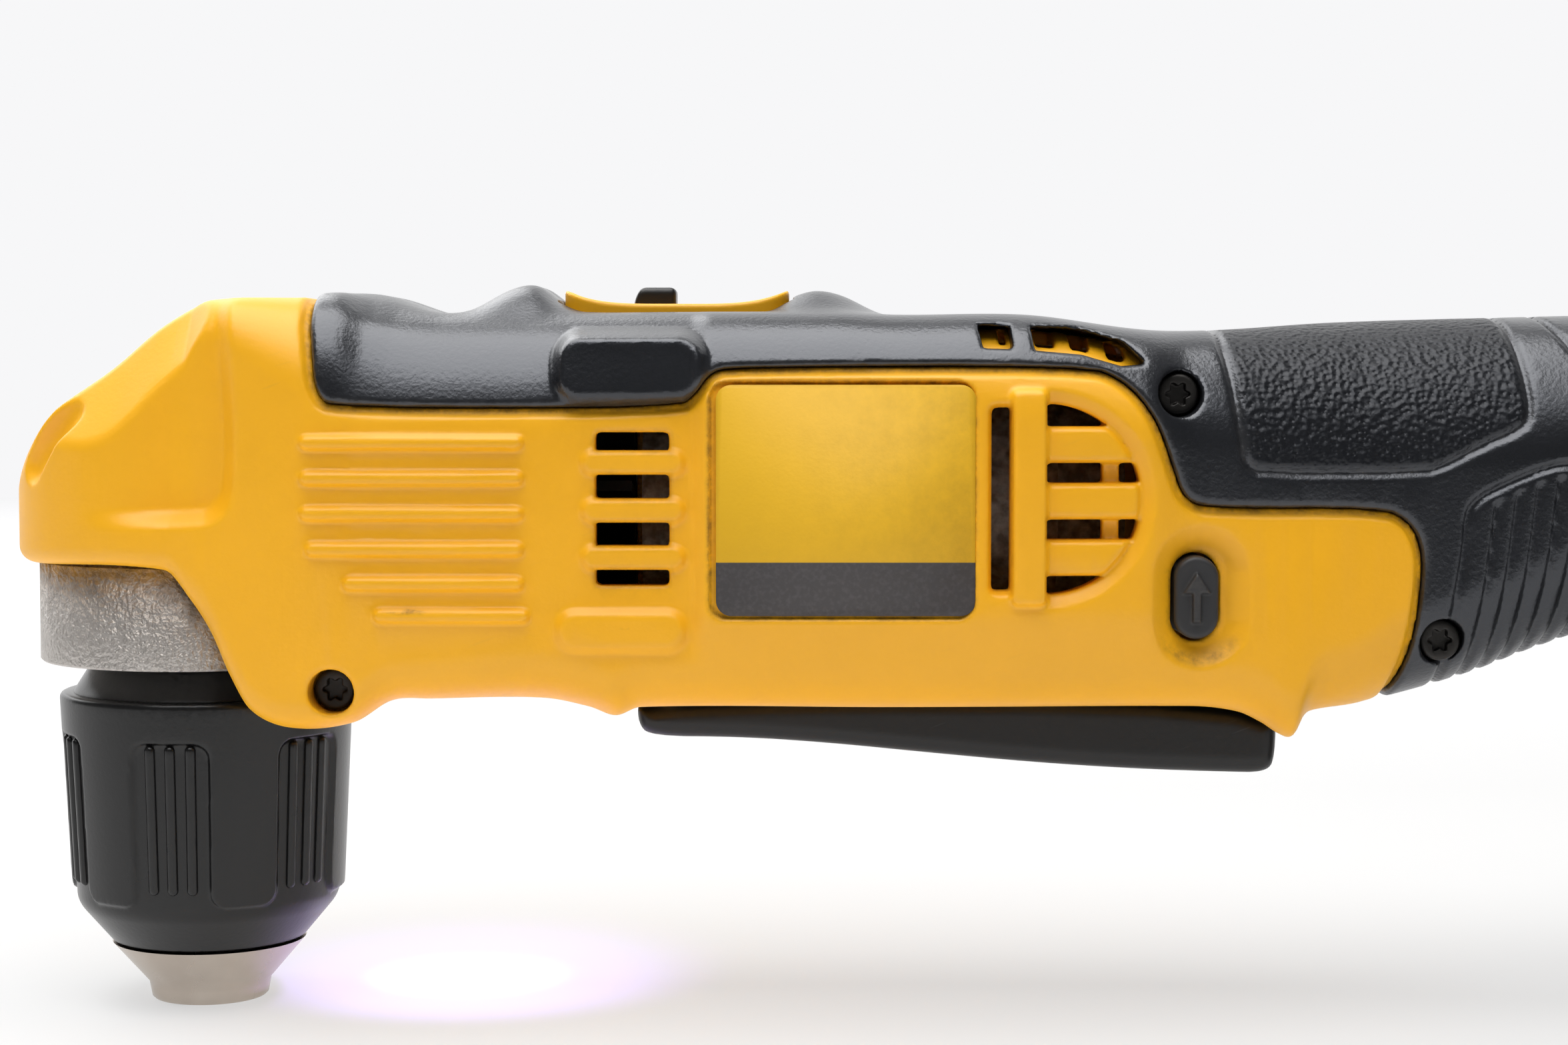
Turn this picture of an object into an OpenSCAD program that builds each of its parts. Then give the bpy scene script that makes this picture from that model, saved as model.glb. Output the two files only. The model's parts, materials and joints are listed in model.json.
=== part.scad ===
// Cordless right angle drill: a moulded two-part body with a rubber grip, a bevel and planetary drive,
// a keyless chuck that points down at the front and a slide-on battery pack at the rear.
// The chuck axis is Z, its nose is at Z = 0, the handle runs along +X and the left side faces -Y.

/* [Overall] */
// Height from the chuck's nose to the flat top of the head
head_h = 96.5; // [95:0.5:101]
// Distance from the chuck axis to the rear face of the handle's foot
body_l = 232; // [229:1:240]
// Half the width of the moulded body beside the motor
body_half_w = 28; // [27.5:0.25:30]
// Plan radius of the rounded head
head_r = 25; // [24.75:0.25:26]

/* [Housing] */
// Wall of the housing halves, rubber included
wall = 3.4; // [3:0.1:3.6]
// Thickness of the moulded rubber grip
grip_skin = 1.5; // [1:0.1:1.8]
// Height of the raised side panel around the label and the grille
panel_rise = 1.6; // [1:0.1:2]
// Thickness of each side rib
rib_t = 1.9; // [1.5:0.1:2.2]
// Height of the side ribs above the shell
rib_rise = 1.1; // [0.6:0.1:1.5]
// Radius of the shank of the housing screws
screw_r = 1.5; // [1.2:0.1:1.6]
// Thickness of the label plate
label_t = 0.8; // [0.5:0.1:1]

/* [Chuck] */
// Height of the chuck, from its nose to its rear face
chuck_h = 43; // [42:0.25:43.5]
// Radius of the chuck sleeve at its rear
sleeve_r = 20; // [19.75:0.25:20.5]
// Depth of the six grip panels in the sleeve
flute_d = 0.9; // [0.5:0.1:1.1]
// Radius of the bore between the open jaws
chuck_bore_r = 5.2; // [5:0.05:5.4]
// Radius of each round jaw
jaw_r = 2.3; // [2.1:0.1:2.4]
// Slope of the jaws to the chuck axis
jaw_tilt = 15; // [14.5:0.25:15.5]

/* [Drive] */
// Radius of the motor can
motor_r = 18.5; // [18:0.25:19]
// Length of the motor can
motor_l = 55; // [52:0.5:56]
// Radius of the spindle at the chuck
spindle_r = 6; // [5.5:0.25:6.25]
// Outer radius of the collar of the gear case
collar_r = 22.4; // [22:0.1:22.6]
// Height of the collar that shows below the head
collar_h = 13.5; // [12.5:0.25:13.5]
// Pitch radius of both ring gears
ring_pitch_r = 15.6; // [15.4:0.1:15.7]

/* [Controls] */
// Length of the trigger paddle
trigger_l = 87; // [85:0.5:87.5]
// Width of the trigger paddle
trigger_w = 18.6; // [16:0.2:19]
// Travel of the speed slider
slider_travel = 7; // [5:0.25:7]

/* [Battery] */
// Width of the battery pack
pack_w = 75; // [72:0.5:80]
// Height of the battery pack
pack_h = 112; // [110:0.5:118]
// Depth of the battery pack behind the foot
pack_l = 43; // [42:0.5:50]
// Radius of each cell
cell_r = 9.1; // [8.9:0.1:9.3]

/* [Hidden] */

$fn = 48;
// Overrun of every cut past the surface that it opens
cut = 1;
// Gap between seated pieces
seat = 0.3;
// Running clearance of a shaft in its bearing
run = 0.05;
// Gap between pieces that move past each other
pass = 0.5;

// Colours
yellow = [0.92, 0.62, 0.08];
rubber = [0.13, 0.13, 0.14];
black = [0.10, 0.10, 0.11];
alloy = [0.62, 0.60, 0.57];
steel = [0.66, 0.63, 0.60];
dark_steel = [0.35, 0.34, 0.34];
copper = [0.72, 0.42, 0.22];

// Side view of the body: places along the body as shares of body_l, heights as shares of head_h
top_shares = [
    [-0.108, 0.764], [-0.079, 0.837], [-0.039, 0.905], [-0.011, 0.961], [0.013, 0.993], [0.030, 1.000],
    [0.069, 1.000], [0.092, 1.004], [0.146, 0.980], [0.200, 1.019], [0.216, 0.992], [0.280, 0.990],
    [0.350, 0.992], [0.369, 1.018], [0.416, 0.981], [0.486, 0.978], [0.556, 0.956], [0.601, 0.956],
    [0.672, 0.967], [0.767, 0.974], [0.850, 0.978], [0.930, 0.974], [1.000, 0.968]
];
bottom_shares = [
    [-0.108, 0.632], [-0.004, 0.632], [0.012, 0.590], [0.024, 0.545], [0.034, 0.490], [0.046, 0.442],
    [0.069, 0.418], [0.103, 0.424], [0.125, 0.454], [0.147, 0.456], [0.211, 0.456], [0.237, 0.440],
    [0.252, 0.427], [0.267, 0.435], [0.560, 0.435], [0.600, 0.416], [0.641, 0.401], [0.650, 0.434],
    [0.681, 0.440], [0.746, 0.478], [0.789, 0.515], [0.840, 0.552], [0.885, 0.562], [0.925, 0.520],
    [0.960, 0.390], [1.000, 0.290]
];
// Half-widths behind the chuck axis, as shares of body_half_w
width_shares = [
    [0, head_r / body_half_w], [0.039, 0.955], [0.086, 0.985], [0.250, 1.000], [0.474, 1.000],
    [0.560, 0.950], [0.647, 0.860], [0.733, 0.805], [0.819, 0.775], [0.884, 0.790], [0.940, 0.920],
    [1.000, 1.110]
];
// Squareness of the body's sections: 2 is an ellipse, more is squarer
squareness = [
    [-0.108, 5], [0.040, 5], [0.240, 4.5], [0.480, 4.2], [0.600, 3], [0.730, 2.5], [0.880, 2.6],
    [0.950, 4], [1.000, 6]
];
// Plan angles of the sections of the rounded front
front_angles = [8, 24, 42, 60, 76];
// Places of the sections behind the chuck axis
section_shares = [
    0, 0.016, 0.032, 0.048, 0.078, 0.100, 0.122, 0.146, 0.174, 0.200, 0.215, 0.252, 0.350, 0.369, 0.392,
    0.420, 0.486, 0.540, 0.600, 0.640, 0.651, 0.690, 0.746, 0.800, 0.850, 0.892, 0.925, 0.948, 0.970, 1
];
// Points down the side of each section, outside and inside the shell
section_steps = 10;
inner_steps = 6;

// Side outline of the rubber grip, from its front edge round below the handle
grip_shares = [
    [0.079, 1.200], [0.079, 0.985], [0.086, 0.880], [0.090, 0.855], [0.289, 0.855], [0.302, 0.890],
    [0.312, 0.907], [0.517, 0.909], [0.539, 0.889], [0.556, 0.841], [0.566, 0.777], [0.578, 0.720],
    [0.681, 0.717], [0.697, 0.698], [0.704, 0.662], [0.704, 0.620], [0.697, 0.524], [0.681, 0.446],
    [0.675, 0.300], [1.050, 0.100], [1.050, 1.200]
];
// Cheek of the upper head, set back behind the body
cheek_shares = [
    [-0.150, 0.705], [0.030, 0.705], [0.040, 0.735], [0.040, 0.900], [0.028, 1.200], [-0.150, 1.200]
];
cheek_half_w = head_r - seat;
// Raised panel around the label and the grille
panel_shares = [
    [0.296, 0.558], [0.300, 0.885], [0.520, 0.885], [0.548, 0.800], [0.548, 0.660], [0.520, 0.558]
];
panel_round = 2.5;
panel_y = body_half_w + panel_rise;
// Label recess on the left side: low and high corners
label_shares = [[0.307, 0.574], [0.453, 0.884]];
label_round = 2;
// Side ribs: front place, rear place and height
rib_shares = [
    [0.077, 0.202, 0.806], [0.077, 0.202, 0.758], [0.077, 0.202, 0.711], [0.080, 0.202, 0.663],
    [0.101, 0.202, 0.617], [0.118, 0.205, 0.574]
];
// Front vent: front and rear ends of the slots, then the height and half-height of each
vent_shares = [0.240, 0.282];
vent_slot_shares = [0.806, 0.743, 0.679, 0.620];
vent_half_share = 0.0115;
// Grille: slot beside the label, the upright bar, then the round window and its bars
grille_slot_shares = [0.463, 0.473];
grille_slot_z_shares = [0.601, 0.857];
grille_window_share = 0.4955;
grille_z_share = 0.727;
grille_r = 12.4;
grille_bar_z_shares = [0.802, 0.727, 0.649];
grille_bar_t = 4.4;
// Raised pads on the shoulder: rubber above, plastic below
pad_shares = [0.216, 0.293];
rubber_pad_z_shares = [0.870, 0.963];
lower_pad_z_shares = [0.518, 0.580];
pad_rise = 1.5;
// Screws: place and height of each
screw_shares = [[0.093, 0.470], [0.571, 0.870], [0.724, 0.533], [0.905, 0.840]];
screw_head_r = 2 * screw_r;
screw_head_t = screw_r;
screw_well_r = screw_head_r + seat;
boss_r = screw_r + wall / 2;
// Scalloped well on the upper corner of the head
scallop_share = [-0.071, 0.808];
scallop_r = 2.8;

// Heights that pieces share
flange_share = 0.632;
drive_share = 0.715;
trigger_z_share = 0.435;
flange_z = up(flange_share);
drive_z = up(drive_share);
trigger_z = up(trigger_z_share);

// Places along the drive, each from the one before it
bevel_m = 1.1;
bevel_gear_teeth = 22;
bevel_pinion_teeth = 11;
bevel_gear_r = bevel_m * bevel_gear_teeth / 2;
bevel_pinion_r = bevel_m * bevel_pinion_teeth / 2;
bevel_face_share = 0.37;
bevel_root_share = 0.92;
bearing_w = 6;
case_web = 8;
bevel_room_share = 2.3;
gear_cavity_r = bevel_gear_r + bevel_room_share * bevel_m;
pinion_bearing_x = gear_cavity_r + seat;
pinion_bearing_r = 9;
carrier_t = 3.2;
gear_w = 7;
low_carrier_x = gear_cavity_r + case_web + pass;
low_gear_x = low_carrier_x + carrier_t + seat;
high_carrier_x = low_gear_x + gear_w + pass;
high_gear_x = low_gear_x + gear_w + slider_travel + 2 * seat;
case_end_x = high_gear_x + gear_w + seat;
case_cover_t = 1.6;
fan_x = case_end_x + case_cover_t + seat + pass;
fan_w = 9;
motor_x = fan_x + fan_w + 3 * pass;
motor_end_x = motor_x + motor_l;
end_cap_l = 9;
switch_share = 0.603;
switch_x = along(switch_share);
switch_l = 23;

// Gear teeth
high_sun_teeth = 12;
high_planet_teeth = 18;
high_ring_teeth = 48;
low_sun_teeth = 20;
low_planet_teeth = 10;
low_ring_teeth = 40;
high_m = 2 * ring_pitch_r / high_ring_teeth;
low_m = 2 * ring_pitch_r / low_ring_teeth;
high_orbit_r = high_m * (high_sun_teeth + high_planet_teeth) / 2;
low_orbit_r = low_m * (low_sun_teeth + low_planet_teeth) / 2;
// Share of the full tooth thickness that is left, the rest being backlash
tooth_share = 0.80;
// Addendum and dedendum as shares of the module
tip_share = 0.85;
root_share = 1.2;
ring_wall = 1.4;
ring_r = ring_pitch_r + root_share * low_m + ring_wall;
case_r = ring_r + run;
case_wall = 1.6;
case_outer_r = case_r + case_wall;
shaft_r = 2.5;
rotor_room = 5.2;
rotor_r = motor_r - rotor_room;
planet_pin_r = 1.2;

// Place along the body and height of a pair of shares
function along(share) = share * body_l;
function up(share) = share * head_h;

// Smooth curve through a table of [place, value] rows
function row_at(table, x, i = 0) = i >= len(table) - 2 || x < table[i + 1][0] ? i : row_at(table, x, i + 1);
function slope_at(table, i) =
    let (a = table[max(i - 1, 0)], b = table[min(i + 1, len(table) - 1)])
    (b[1] - a[1]) / (b[0] - a[0]);
function curve(table, x) =
    let (
        i = row_at(table, x),
        p = table[i],
        q = table[i + 1],
        d = q[0] - p[0],
        t = min(max((x - p[0]) / d, 0), 1),
        rise = slope_at(table, i) * d,
        fall = slope_at(table, i + 1) * d
    )
    p[1] * (2 * t ^ 3 - 3 * t ^ 2 + 1) + rise * (t ^ 3 - 2 * t ^ 2 + t)
        + q[1] * (3 * t ^ 2 - 2 * t ^ 3) + fall * (t ^ 3 - t ^ 2);

// Half-section of the body at x, drawn in by inset, from its top down the left side
function half_width(x, inset) =
    x < 0
        ? sqrt(max((head_r - inset) ^ 2 - x ^ 2, 0))
        : body_half_w * curve(width_shares, x / body_l) - inset;
function body_section(x, inset, steps) =
    let (
        top = up(curve(top_shares, x / body_l)) - inset,
        bottom = up(curve(bottom_shares, x / body_l)) + inset,
        w = half_width(x, inset),
        power = 2 / curve(squareness, x / body_l)
    )
    [for (i = [0 : steps])
        let (a = 90 - 180 * i / steps)
        [
            x,
            -w * abs(cos(a)) ^ power,
            (top + bottom) / 2 + (top - bottom) / 2 * sign(sin(a)) * abs(sin(a)) ^ power
        ]];

// Left half of the body, drawn in by inset on every side
module half_body(inset = 0, steps = section_steps) {
    xs = concat(
        [for (a = front_angles) -(head_r - inset) * cos(a)],
        [for (s = section_shares) min(along(s), body_l - inset)]
    );
    ring = steps + 1;
    last = len(xs) - 1;
    sides = [for (k = [0 : last - 1]) for (i = [0 : ring - 1])
        let (a = k * ring + i, b = k * ring + (i + 1) % ring)
        each [[a, a + ring, b + ring], [a, b + ring, b]]];
    front = [for (i = [0 : ring - 1]) i];
    rear = [for (i = [ring - 1 : -1 : 0]) last * ring + i];
    polyhedron([for (x = xs) each body_section(x, inset, steps)], concat([front], sides, [rear]));
}

// Solid with the given side outline, in shares, across the whole width
module across(shares, round = 0) {
    rotate([90, 0, 0])
        linear_extrude(4 * body_half_w, center = true)
            offset(round)
                offset(delta = -round)
                    polygon([for (p = shares) [along(p[0]), up(p[1])]]);
}

// Upright bar with round ends from x0 to x1, from y0 outwards to y1
module side_bar(x0, x1, z, half_t, y0, y1) {
    hull()
        for (x = [x0 + half_t, x1 - half_t])
            translate([x, -y0, z])
                rotate([90, 0, 0])
                    cylinder(h = y1 - y0, r = half_t, $fn = 12);
}

// Plate on the left side with rounded corners, between two corners in shares, from y0 outwards to y1
module side_plate(low, high, round, y0, y1) {
    hull()
        for (x = [along(low[0]) + round, along(high[0]) - round])
            for (z = [up(low[1]) + round, up(high[1]) - round])
                translate([x, -y0, z])
                    rotate([90, 0, 0])
                        cylinder(h = y1 - y0, r = round, $fn = 16);
}

// Cylinder along the drive axis
module drive_rod(x0, x1, r) {
    translate([x0, 0, drive_z])
        rotate([0, 90, 0])
            cylinder(h = x1 - x0, r = r);
}

// Tube along the drive axis
module drive_tube(x0, x1, r, bore) {
    difference() {
        drive_rod(x0, x1, r);
        drive_rod(x0 - cut, x1 + cut, bore);
    }
}

// Tube along the chuck axis
module chuck_tube(z0, z1, r, bore) {
    translate([0, 0, z0])
        difference() {
            cylinder(h = z1 - z0, r = r);
            translate([0, 0, -cut])
                cylinder(h = z1 - z0 + 2 * cut, r = bore);
        }
}

// Screw bosses, from the split plane to the outer skin
module screw_bosses() {
    intersection() {
        half_body(grip_skin + seat, inner_steps);
        for (s = screw_shares)
            translate([along(s[0]), 0, up(s[1])])
                rotate([90, 0, 0])
                    cylinder(h = 2 * body_half_w, r = boss_r, $fn = 14);
    }
}

// Webs that carry the gear case, the motor and the switch
module cradles() {
    places = [
        [case_end_x - carrier_t, case_outer_r],
        [motor_x + 2 * carrier_t, motor_r],
        [motor_end_x - 3 * carrier_t, motor_r]
    ];
    intersection() {
        half_body(wall - seat, inner_steps);
        for (p = places)
            difference() {
                translate([p[0], -2 * body_half_w, 0])
                    cube([wall / 2, 2 * body_half_w, 2 * head_h]);
                drive_rod(p[0] - cut, p[0] + wall, p[1] + seat, $fn = 32);
                translate([p[0] - cut, -trigger_w / 2 - pass, 0])
                    cube([wall + cut, trigger_w + pass, drive_z]);
                translate([p[0] - cut, -slider_w, drive_z])
                    cube([wall + cut, 2 * slider_w, head_h]);
            }
    }
}

// Slots of the front vent and the windows of the grille, through the left side
module side_openings() {
    depth = [body_half_w - 2 * wall, panel_y + cut];
    for (z = vent_slot_shares)
        side_bar(
            along(vent_shares[0]), along(vent_shares[1]), up(z), up(vent_half_share), depth[0], depth[1]
        );
    side_plate(
        [grille_slot_shares[0], grille_slot_z_shares[0]], [grille_slot_shares[1], grille_slot_z_shares[1]],
        rib_t / 2, depth[0], depth[1]
    );
    difference() {
        translate([along(grille_window_share), -depth[0], up(grille_z_share)])
            rotate([90, 0, 0])
                cylinder(h = depth[1] - depth[0], r = grille_r, $fn = 32);
        translate([along(grille_window_share) - grille_r - cut, -panel_y - cut, 0])
            cube([grille_r + cut, panel_y + cut, head_h]);
        for (z = grille_bar_z_shares)
            translate([along(grille_window_share), -panel_y, up(z) - grille_bar_t / 2])
                cube([2 * grille_r, panel_y, grille_bar_t]);
    }
}

// Openings at the split: trigger, lamp, selector, direction button, collar and battery rail
module split_openings() {
    translate([trigger_x - pass, -trigger_w / 2 - pass, 0])
        cube([trigger_l + 3 * pass, trigger_w + 2 * pass, trigger_z + 2 * wall]);
    trigger_pin_rod(run);
    translate([along(led_share), 0, 0])
        cylinder(h = up(led_well_share), r = led_r + seat, $fn = 24);
    translate([along(selector_shares[0]), -selector_w / 2, selector_z - selector_t])
        cube([along(selector_shares[1] - selector_shares[0]), selector_w, head_h]);
    translate([slider_x - pass, -slider_w / 2 - pass, selector_z - 2 * wall])
        cube([slider_l + slider_travel + 2 * pass, slider_w + 2 * pass, 2 * wall]);
    button_bar(pass, 2 * body_half_w);
    translate([0, 0, -cut])
        cylinder(h = flange_z + cut, r = collar_r + seat, $fn = 40);
    translate([0, 0, flange_z - cut])
        cylinder(h = case_slope_z - flange_z + cut + seat, r = head_case_r + seat, $fn = 40);
    translate([body_l - rail_root - seat, -rail_neck_w / 2 - seat, rail_z - seat])
        cube([rail_root + wall, rail_neck_w + 2 * seat, rail_l + 2 * seat]);
}

// Wells for the screw heads, then the shank holes
module screw_holes() {
    for (s = screw_shares)
        translate([along(s[0]), 0, up(s[1])])
            rotate([90, 0, 0]) {
                cylinder(h = 2 * body_half_w, r = screw_r + run, $fn = 16);
                translate([0, 0, screw_seat_y(s)])
                    cylinder(h = 2 * body_half_w, r = screw_well_r, $fn = 16);
            }
}
function screw_seat_y(s) = half_width(along(s[0]), 0) * screw_seat_share;
screw_seat_share = 0.80;

// Left half of the yellow housing without its screws' wells
module half_shell() {
    difference() {
        union() {
            difference() {
                union() {
                    half_body();
                    intersection() {
                        across(panel_shares, panel_round);
                        translate([0, -panel_y, 0])
                            cube([body_l, panel_y, head_h]);
                    }
                    for (r = rib_shares)
                        side_bar(
                            along(r[0]), along(r[1]), up(r[2]), rib_t / 2,
                            body_half_w - wall, body_half_w + rib_rise
                        );
                    side_plate(
                        [pad_shares[0], lower_pad_z_shares[0]], [pad_shares[1], lower_pad_z_shares[1]],
                        rib_t, body_half_w - wall, body_half_w + pad_rise
                    );
                }
                half_body(wall, inner_steps);
                difference() {
                    across(grip_shares);
                    half_body(grip_skin);
                }
                translate([0, -2 * body_half_w - cheek_half_w, 0])
                    intersection() {
                        translate([0, body_half_w, 0])
                            across(cheek_shares);
                        translate([-body_l, 0, 0])
                            cube([2 * body_l, 2 * body_half_w, 2 * head_h]);
                    }
                translate([along(scallop_share[0]), 0, up(scallop_share[1])])
                    rotate([90, 0, 0])
                        cylinder(h = 2 * head_r, r = scallop_r, $fn = 16);
            }
            screw_bosses();
            cradles();
        }
        side_openings();
        split_openings();
        translate([along(button_share[0]), -half_width(along(button_share[0]), 0), up(button_share[1])])
            scale([1, button_dish_d / button_dish_r, button_dish_h / button_dish_r])
                sphere(r = button_dish_r, $fn = 18);
    }
}
button_dish_r = 6.5;
button_dish_h = 9;
button_dish_d = 2.2;

module housing_left() {
    color(yellow)
        difference() {
            half_shell();
            screw_holes();
            side_plate(
                label_shares[0], label_shares[1], label_round,
                panel_y - label_t - seat / 2, panel_y + cut
            );
        }
}

module housing_right() {
    color(yellow)
        mirror([0, 1, 0])
            difference() {
                half_shell();
                for (s = screw_shares)
                    translate([along(s[0]), 0, up(s[1])])
                        rotate([90, 0, 0])
                            cylinder(h = screw_tail + seat, r = screw_r + run, $fn = 16);
            }
}

// Left half of the rubber grip
module half_grip() {
    difference() {
        union() {
            intersection() {
                half_body();
                across(grip_shares);
            }
            intersection() {
                side_plate(
                    [pad_shares[0], rubber_pad_z_shares[0]], [pad_shares[1], rubber_pad_z_shares[1]],
                    2 * rib_t, body_half_w / 2, body_half_w + pad_rise
                );
                half_body(-pad_rise);
            }
        }
        half_body(grip_skin - run);
        split_openings();
        for (i = [0 : 5])
            translate([along(handle_rib_share) + 2 * i * rib_t, 0, up(handle_rib_z_share)])
                side_bar_up(up(handle_rib_h_share), rib_t / 2);
    }
}
handle_rib_share = 0.760;
handle_rib_z_share = 0.70;
handle_rib_h_share = 0.06;

// Shallow upright groove in the handle's side
module side_bar_up(h, half_t) {
    hull()
        for (z = [0, h])
            translate([0, -half_width(along(handle_rib_share), grip_skin / 2), z])
                rotate([90, 0, 0])
                    cylinder(h = body_half_w, r = half_t, $fn = 12);
}

module grip_left() {
    color(rubber)
        difference() {
            half_grip();
            screw_holes();
        }
}

module grip_right() {
    color(rubber)
        mirror([0, 1, 0])
            half_grip();
}

module label_plate() {
    color([0.25, 0.24, 0.24])
        side_plate(
            [label_shares[0][0] + label_edge_share, label_shares[0][1] + label_edge_share],
            [label_shares[1][0] - label_edge_share, label_shares[1][1] - label_edge_share],
            label_round, panel_y - label_t, panel_y
        );
}
label_edge_share = 0.001;

// Speed selector on top of the body
selector_shares = [0.216, 0.350];
selector_w = 19;
selector_t = 2;
selector_z_share = 0.990;
selector_z = up(selector_z_share);
slider_share = 0.257;
slider_x = along(slider_share);
slider_l = 5.8;
slider_w = 6.4;
slider_top_share = 1.0175;
slider_top_z = up(slider_top_share);
yoke_t = 1.3;
yoke_z = drive_z + case_outer_r + seat;
yoke_w = 8;
yoke_foot_l = 2.6;
ring_groove_d = 0.9;

module selector_plate() {
    color(yellow)
        difference() {
            translate([along(selector_shares[0]) + seat, -selector_w / 2 + seat, selector_z - selector_t])
                cube([
                    along(selector_shares[1] - selector_shares[0]) - 2 * seat,
                    selector_w - 2 * seat,
                    selector_t
                ]);
            translate([slider_x - pass, -slider_w / 2 - pass, selector_z - 2 * selector_t])
                cube([slider_l + slider_travel + 2 * pass, slider_w + 2 * pass, 3 * selector_t]);
        }
}

module speed_slider() {
    color(black) {
        translate([slider_x, -slider_w / 2, yoke_z + yoke_t])
            cube([slider_l, slider_w, slider_top_z - yoke_z - yoke_t]);
        for (i = [0 : 2])
            translate([slider_x + (i + 0.5) * slider_l / 3, -slider_w / 2, slider_top_z])
                rotate([-90, 0, 0])
                    cylinder(h = slider_w, r = slider_l / 8, $fn = 16);
    }
}

module shift_yoke() {
    foot_x = low_gear_x + gear_w / 2 - yoke_foot_l / 2;
    color(dark_steel) {
        translate([foot_x, -yoke_w / 2, yoke_z])
            cube([slider_x + slider_l - foot_x, yoke_w, yoke_t]);
        translate([foot_x, -yoke_w / 2, drive_z])
            intersection() {
                cube([yoke_foot_l, yoke_w, yoke_z - drive_z + yoke_t / 2]);
                translate([0, yoke_w / 2, 0])
                    rotate([0, 90, 0])
                        difference() {
                            cylinder(h = yoke_foot_l, r = 2 * ring_r);
                            translate([0, 0, -cut])
                                cylinder(h = yoke_foot_l + 2 * cut, r = ring_r - ring_groove_d + run);
                        }
            }
    }
}

module shift_ring() {
    color(steel)
        difference() {
            ring_gear(low_gear_x, gear_w, low_ring_teeth, low_m);
            drive_tube(
                low_gear_x + gear_w / 2 - yoke_foot_l / 2 - run,
                low_gear_x + gear_w / 2 + yoke_foot_l / 2 + run,
                ring_r + cut,
                ring_r - ring_groove_d
            );
        }
}

// Trigger, hinged at its front end
trigger_share = 0.260;
trigger_x = along(trigger_share);
trigger_pin_r = 1.6;
trigger_pin_dx = 4;
trigger_pin_rise = 3;
trigger_pin_z = trigger_z + trigger_pin_rise;
trigger_lug_r = 3;
trigger_depth = 9.7;
// Side outline behind the hinge: places as shares of trigger_l, heights as shares of trigger_depth
trigger_shares = [
    [0, 0], [0.020, -0.350], [0.120, -0.480], [0.300, -0.600], [0.550, -0.780], [0.800, -0.930],
    [0.940, -1.000], [0.985, -0.930], [1.000, -0.700], [1.000, 0.100], [0.040, 0.100]
];
tongue_l = 4;
tongue_x = switch_x + tongue_l / 3;
tongue_w = 6;

module trigger_pin_rod(gap) {
    translate([trigger_x + trigger_pin_dx, 0, trigger_pin_z])
        rotate([90, 0, 0])
            cylinder(h = trigger_w + 4 * wall + 2 * gap, r = trigger_pin_r + gap, center = true);
}

module trigger_pin() {
    color(steel)
        trigger_pin_rod(0);
}

module trigger_paddle() {
    color(black)
        difference() {
            union() {
                translate([trigger_x, 0, trigger_z])
                    rotate([90, 0, 0])
                        linear_extrude(trigger_w, center = true)
                            polygon([for (p = trigger_shares) [p[0] * trigger_l, p[1] * trigger_depth]]);
                translate([trigger_x + trigger_pin_dx, 0, trigger_pin_z])
                    rotate([90, 0, 0])
                        cylinder(h = trigger_w, r = trigger_lug_r, center = true);
                translate([tongue_x, -tongue_w / 2, trigger_z])
                    cube([tongue_l, tongue_w, trigger_depth]);
            }
            trigger_pin_rod(run);
        }
}

// Switch above the trigger's rear end
switch_z = trigger_z + trigger_depth + pass;
switch_h = 19;
switch_w = 2 * tongue_w + 2 * wall;

module switch_module() {
    color(black)
        difference() {
            translate([switch_x, -switch_w / 2, switch_z])
                cube([switch_l, switch_w, switch_h]);
            translate([switch_x - cut, -tongue_w / 2 - pass, switch_z - cut])
                cube([tongue_x - switch_x + cut + 1.5 * tongue_l, tongue_w + 2 * pass, trigger_depth + cut]);
        }
}

// Direction button, pushed through from either side
button_share = [0.580, 0.597];
button_half_l = 2.9;
button_half_h = 5.4;
button_proud = 1.2;

module button_bar(gap, length) {
    for (dz = [-1, 1])
        translate([along(button_share[0]), 0, up(button_share[1]) + dz * (button_half_h - button_half_l)])
            rotate([90, 0, 0])
                cylinder(h = 2 * length, r = button_half_l + gap, center = true);
    translate([along(button_share[0]), 0, up(button_share[1])])
        cube([
            2 * (button_half_l + gap), 2 * length, 2 * (button_half_h - button_half_l)
        ], center = true);
}

module direction_button() {
    color(black)
        button_bar(0, half_width(along(button_share[0]), 0) + button_proud);
}

// Lamp under the nose of the body
led_share = 0.147;
led_r = 3.4;
led_z_share = 0.456;
led_well_share = 0.5;
led_z = up(led_z_share);
led_h = 4;

module led_lens() {
    color([0.85, 0.88, 0.95]) {
        translate([along(led_share), 0, led_z])
            cylinder(h = led_h, r = led_r);
        translate([along(led_share), 0, led_z])
            intersection() {
                sphere(r = led_r);
                translate([-led_r, -led_r, -led_r / 4])
                    cube([2 * led_r, 2 * led_r, led_r / 2]);
            }
    }
}

module led_board() {
    color([0.15, 0.35, 0.18])
        translate([along(led_share) - led_r / 2, -led_r / 2, led_z + led_h + run])
            cube([led_r, led_r, wall / 4]);
}

// Gear case: collar, head and planetary barrel in one casting
head_case_r = head_r - wall - seat;
case_side_h = 11;
case_h = 22.5;
case_slope_z = flange_z + case_side_h;
case_top_z = flange_z + case_h;
case_top_r = 9.5;
lower_bearing_r = 14;
upper_bearing_r = 8;
spindle_top_r = 4;

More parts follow.
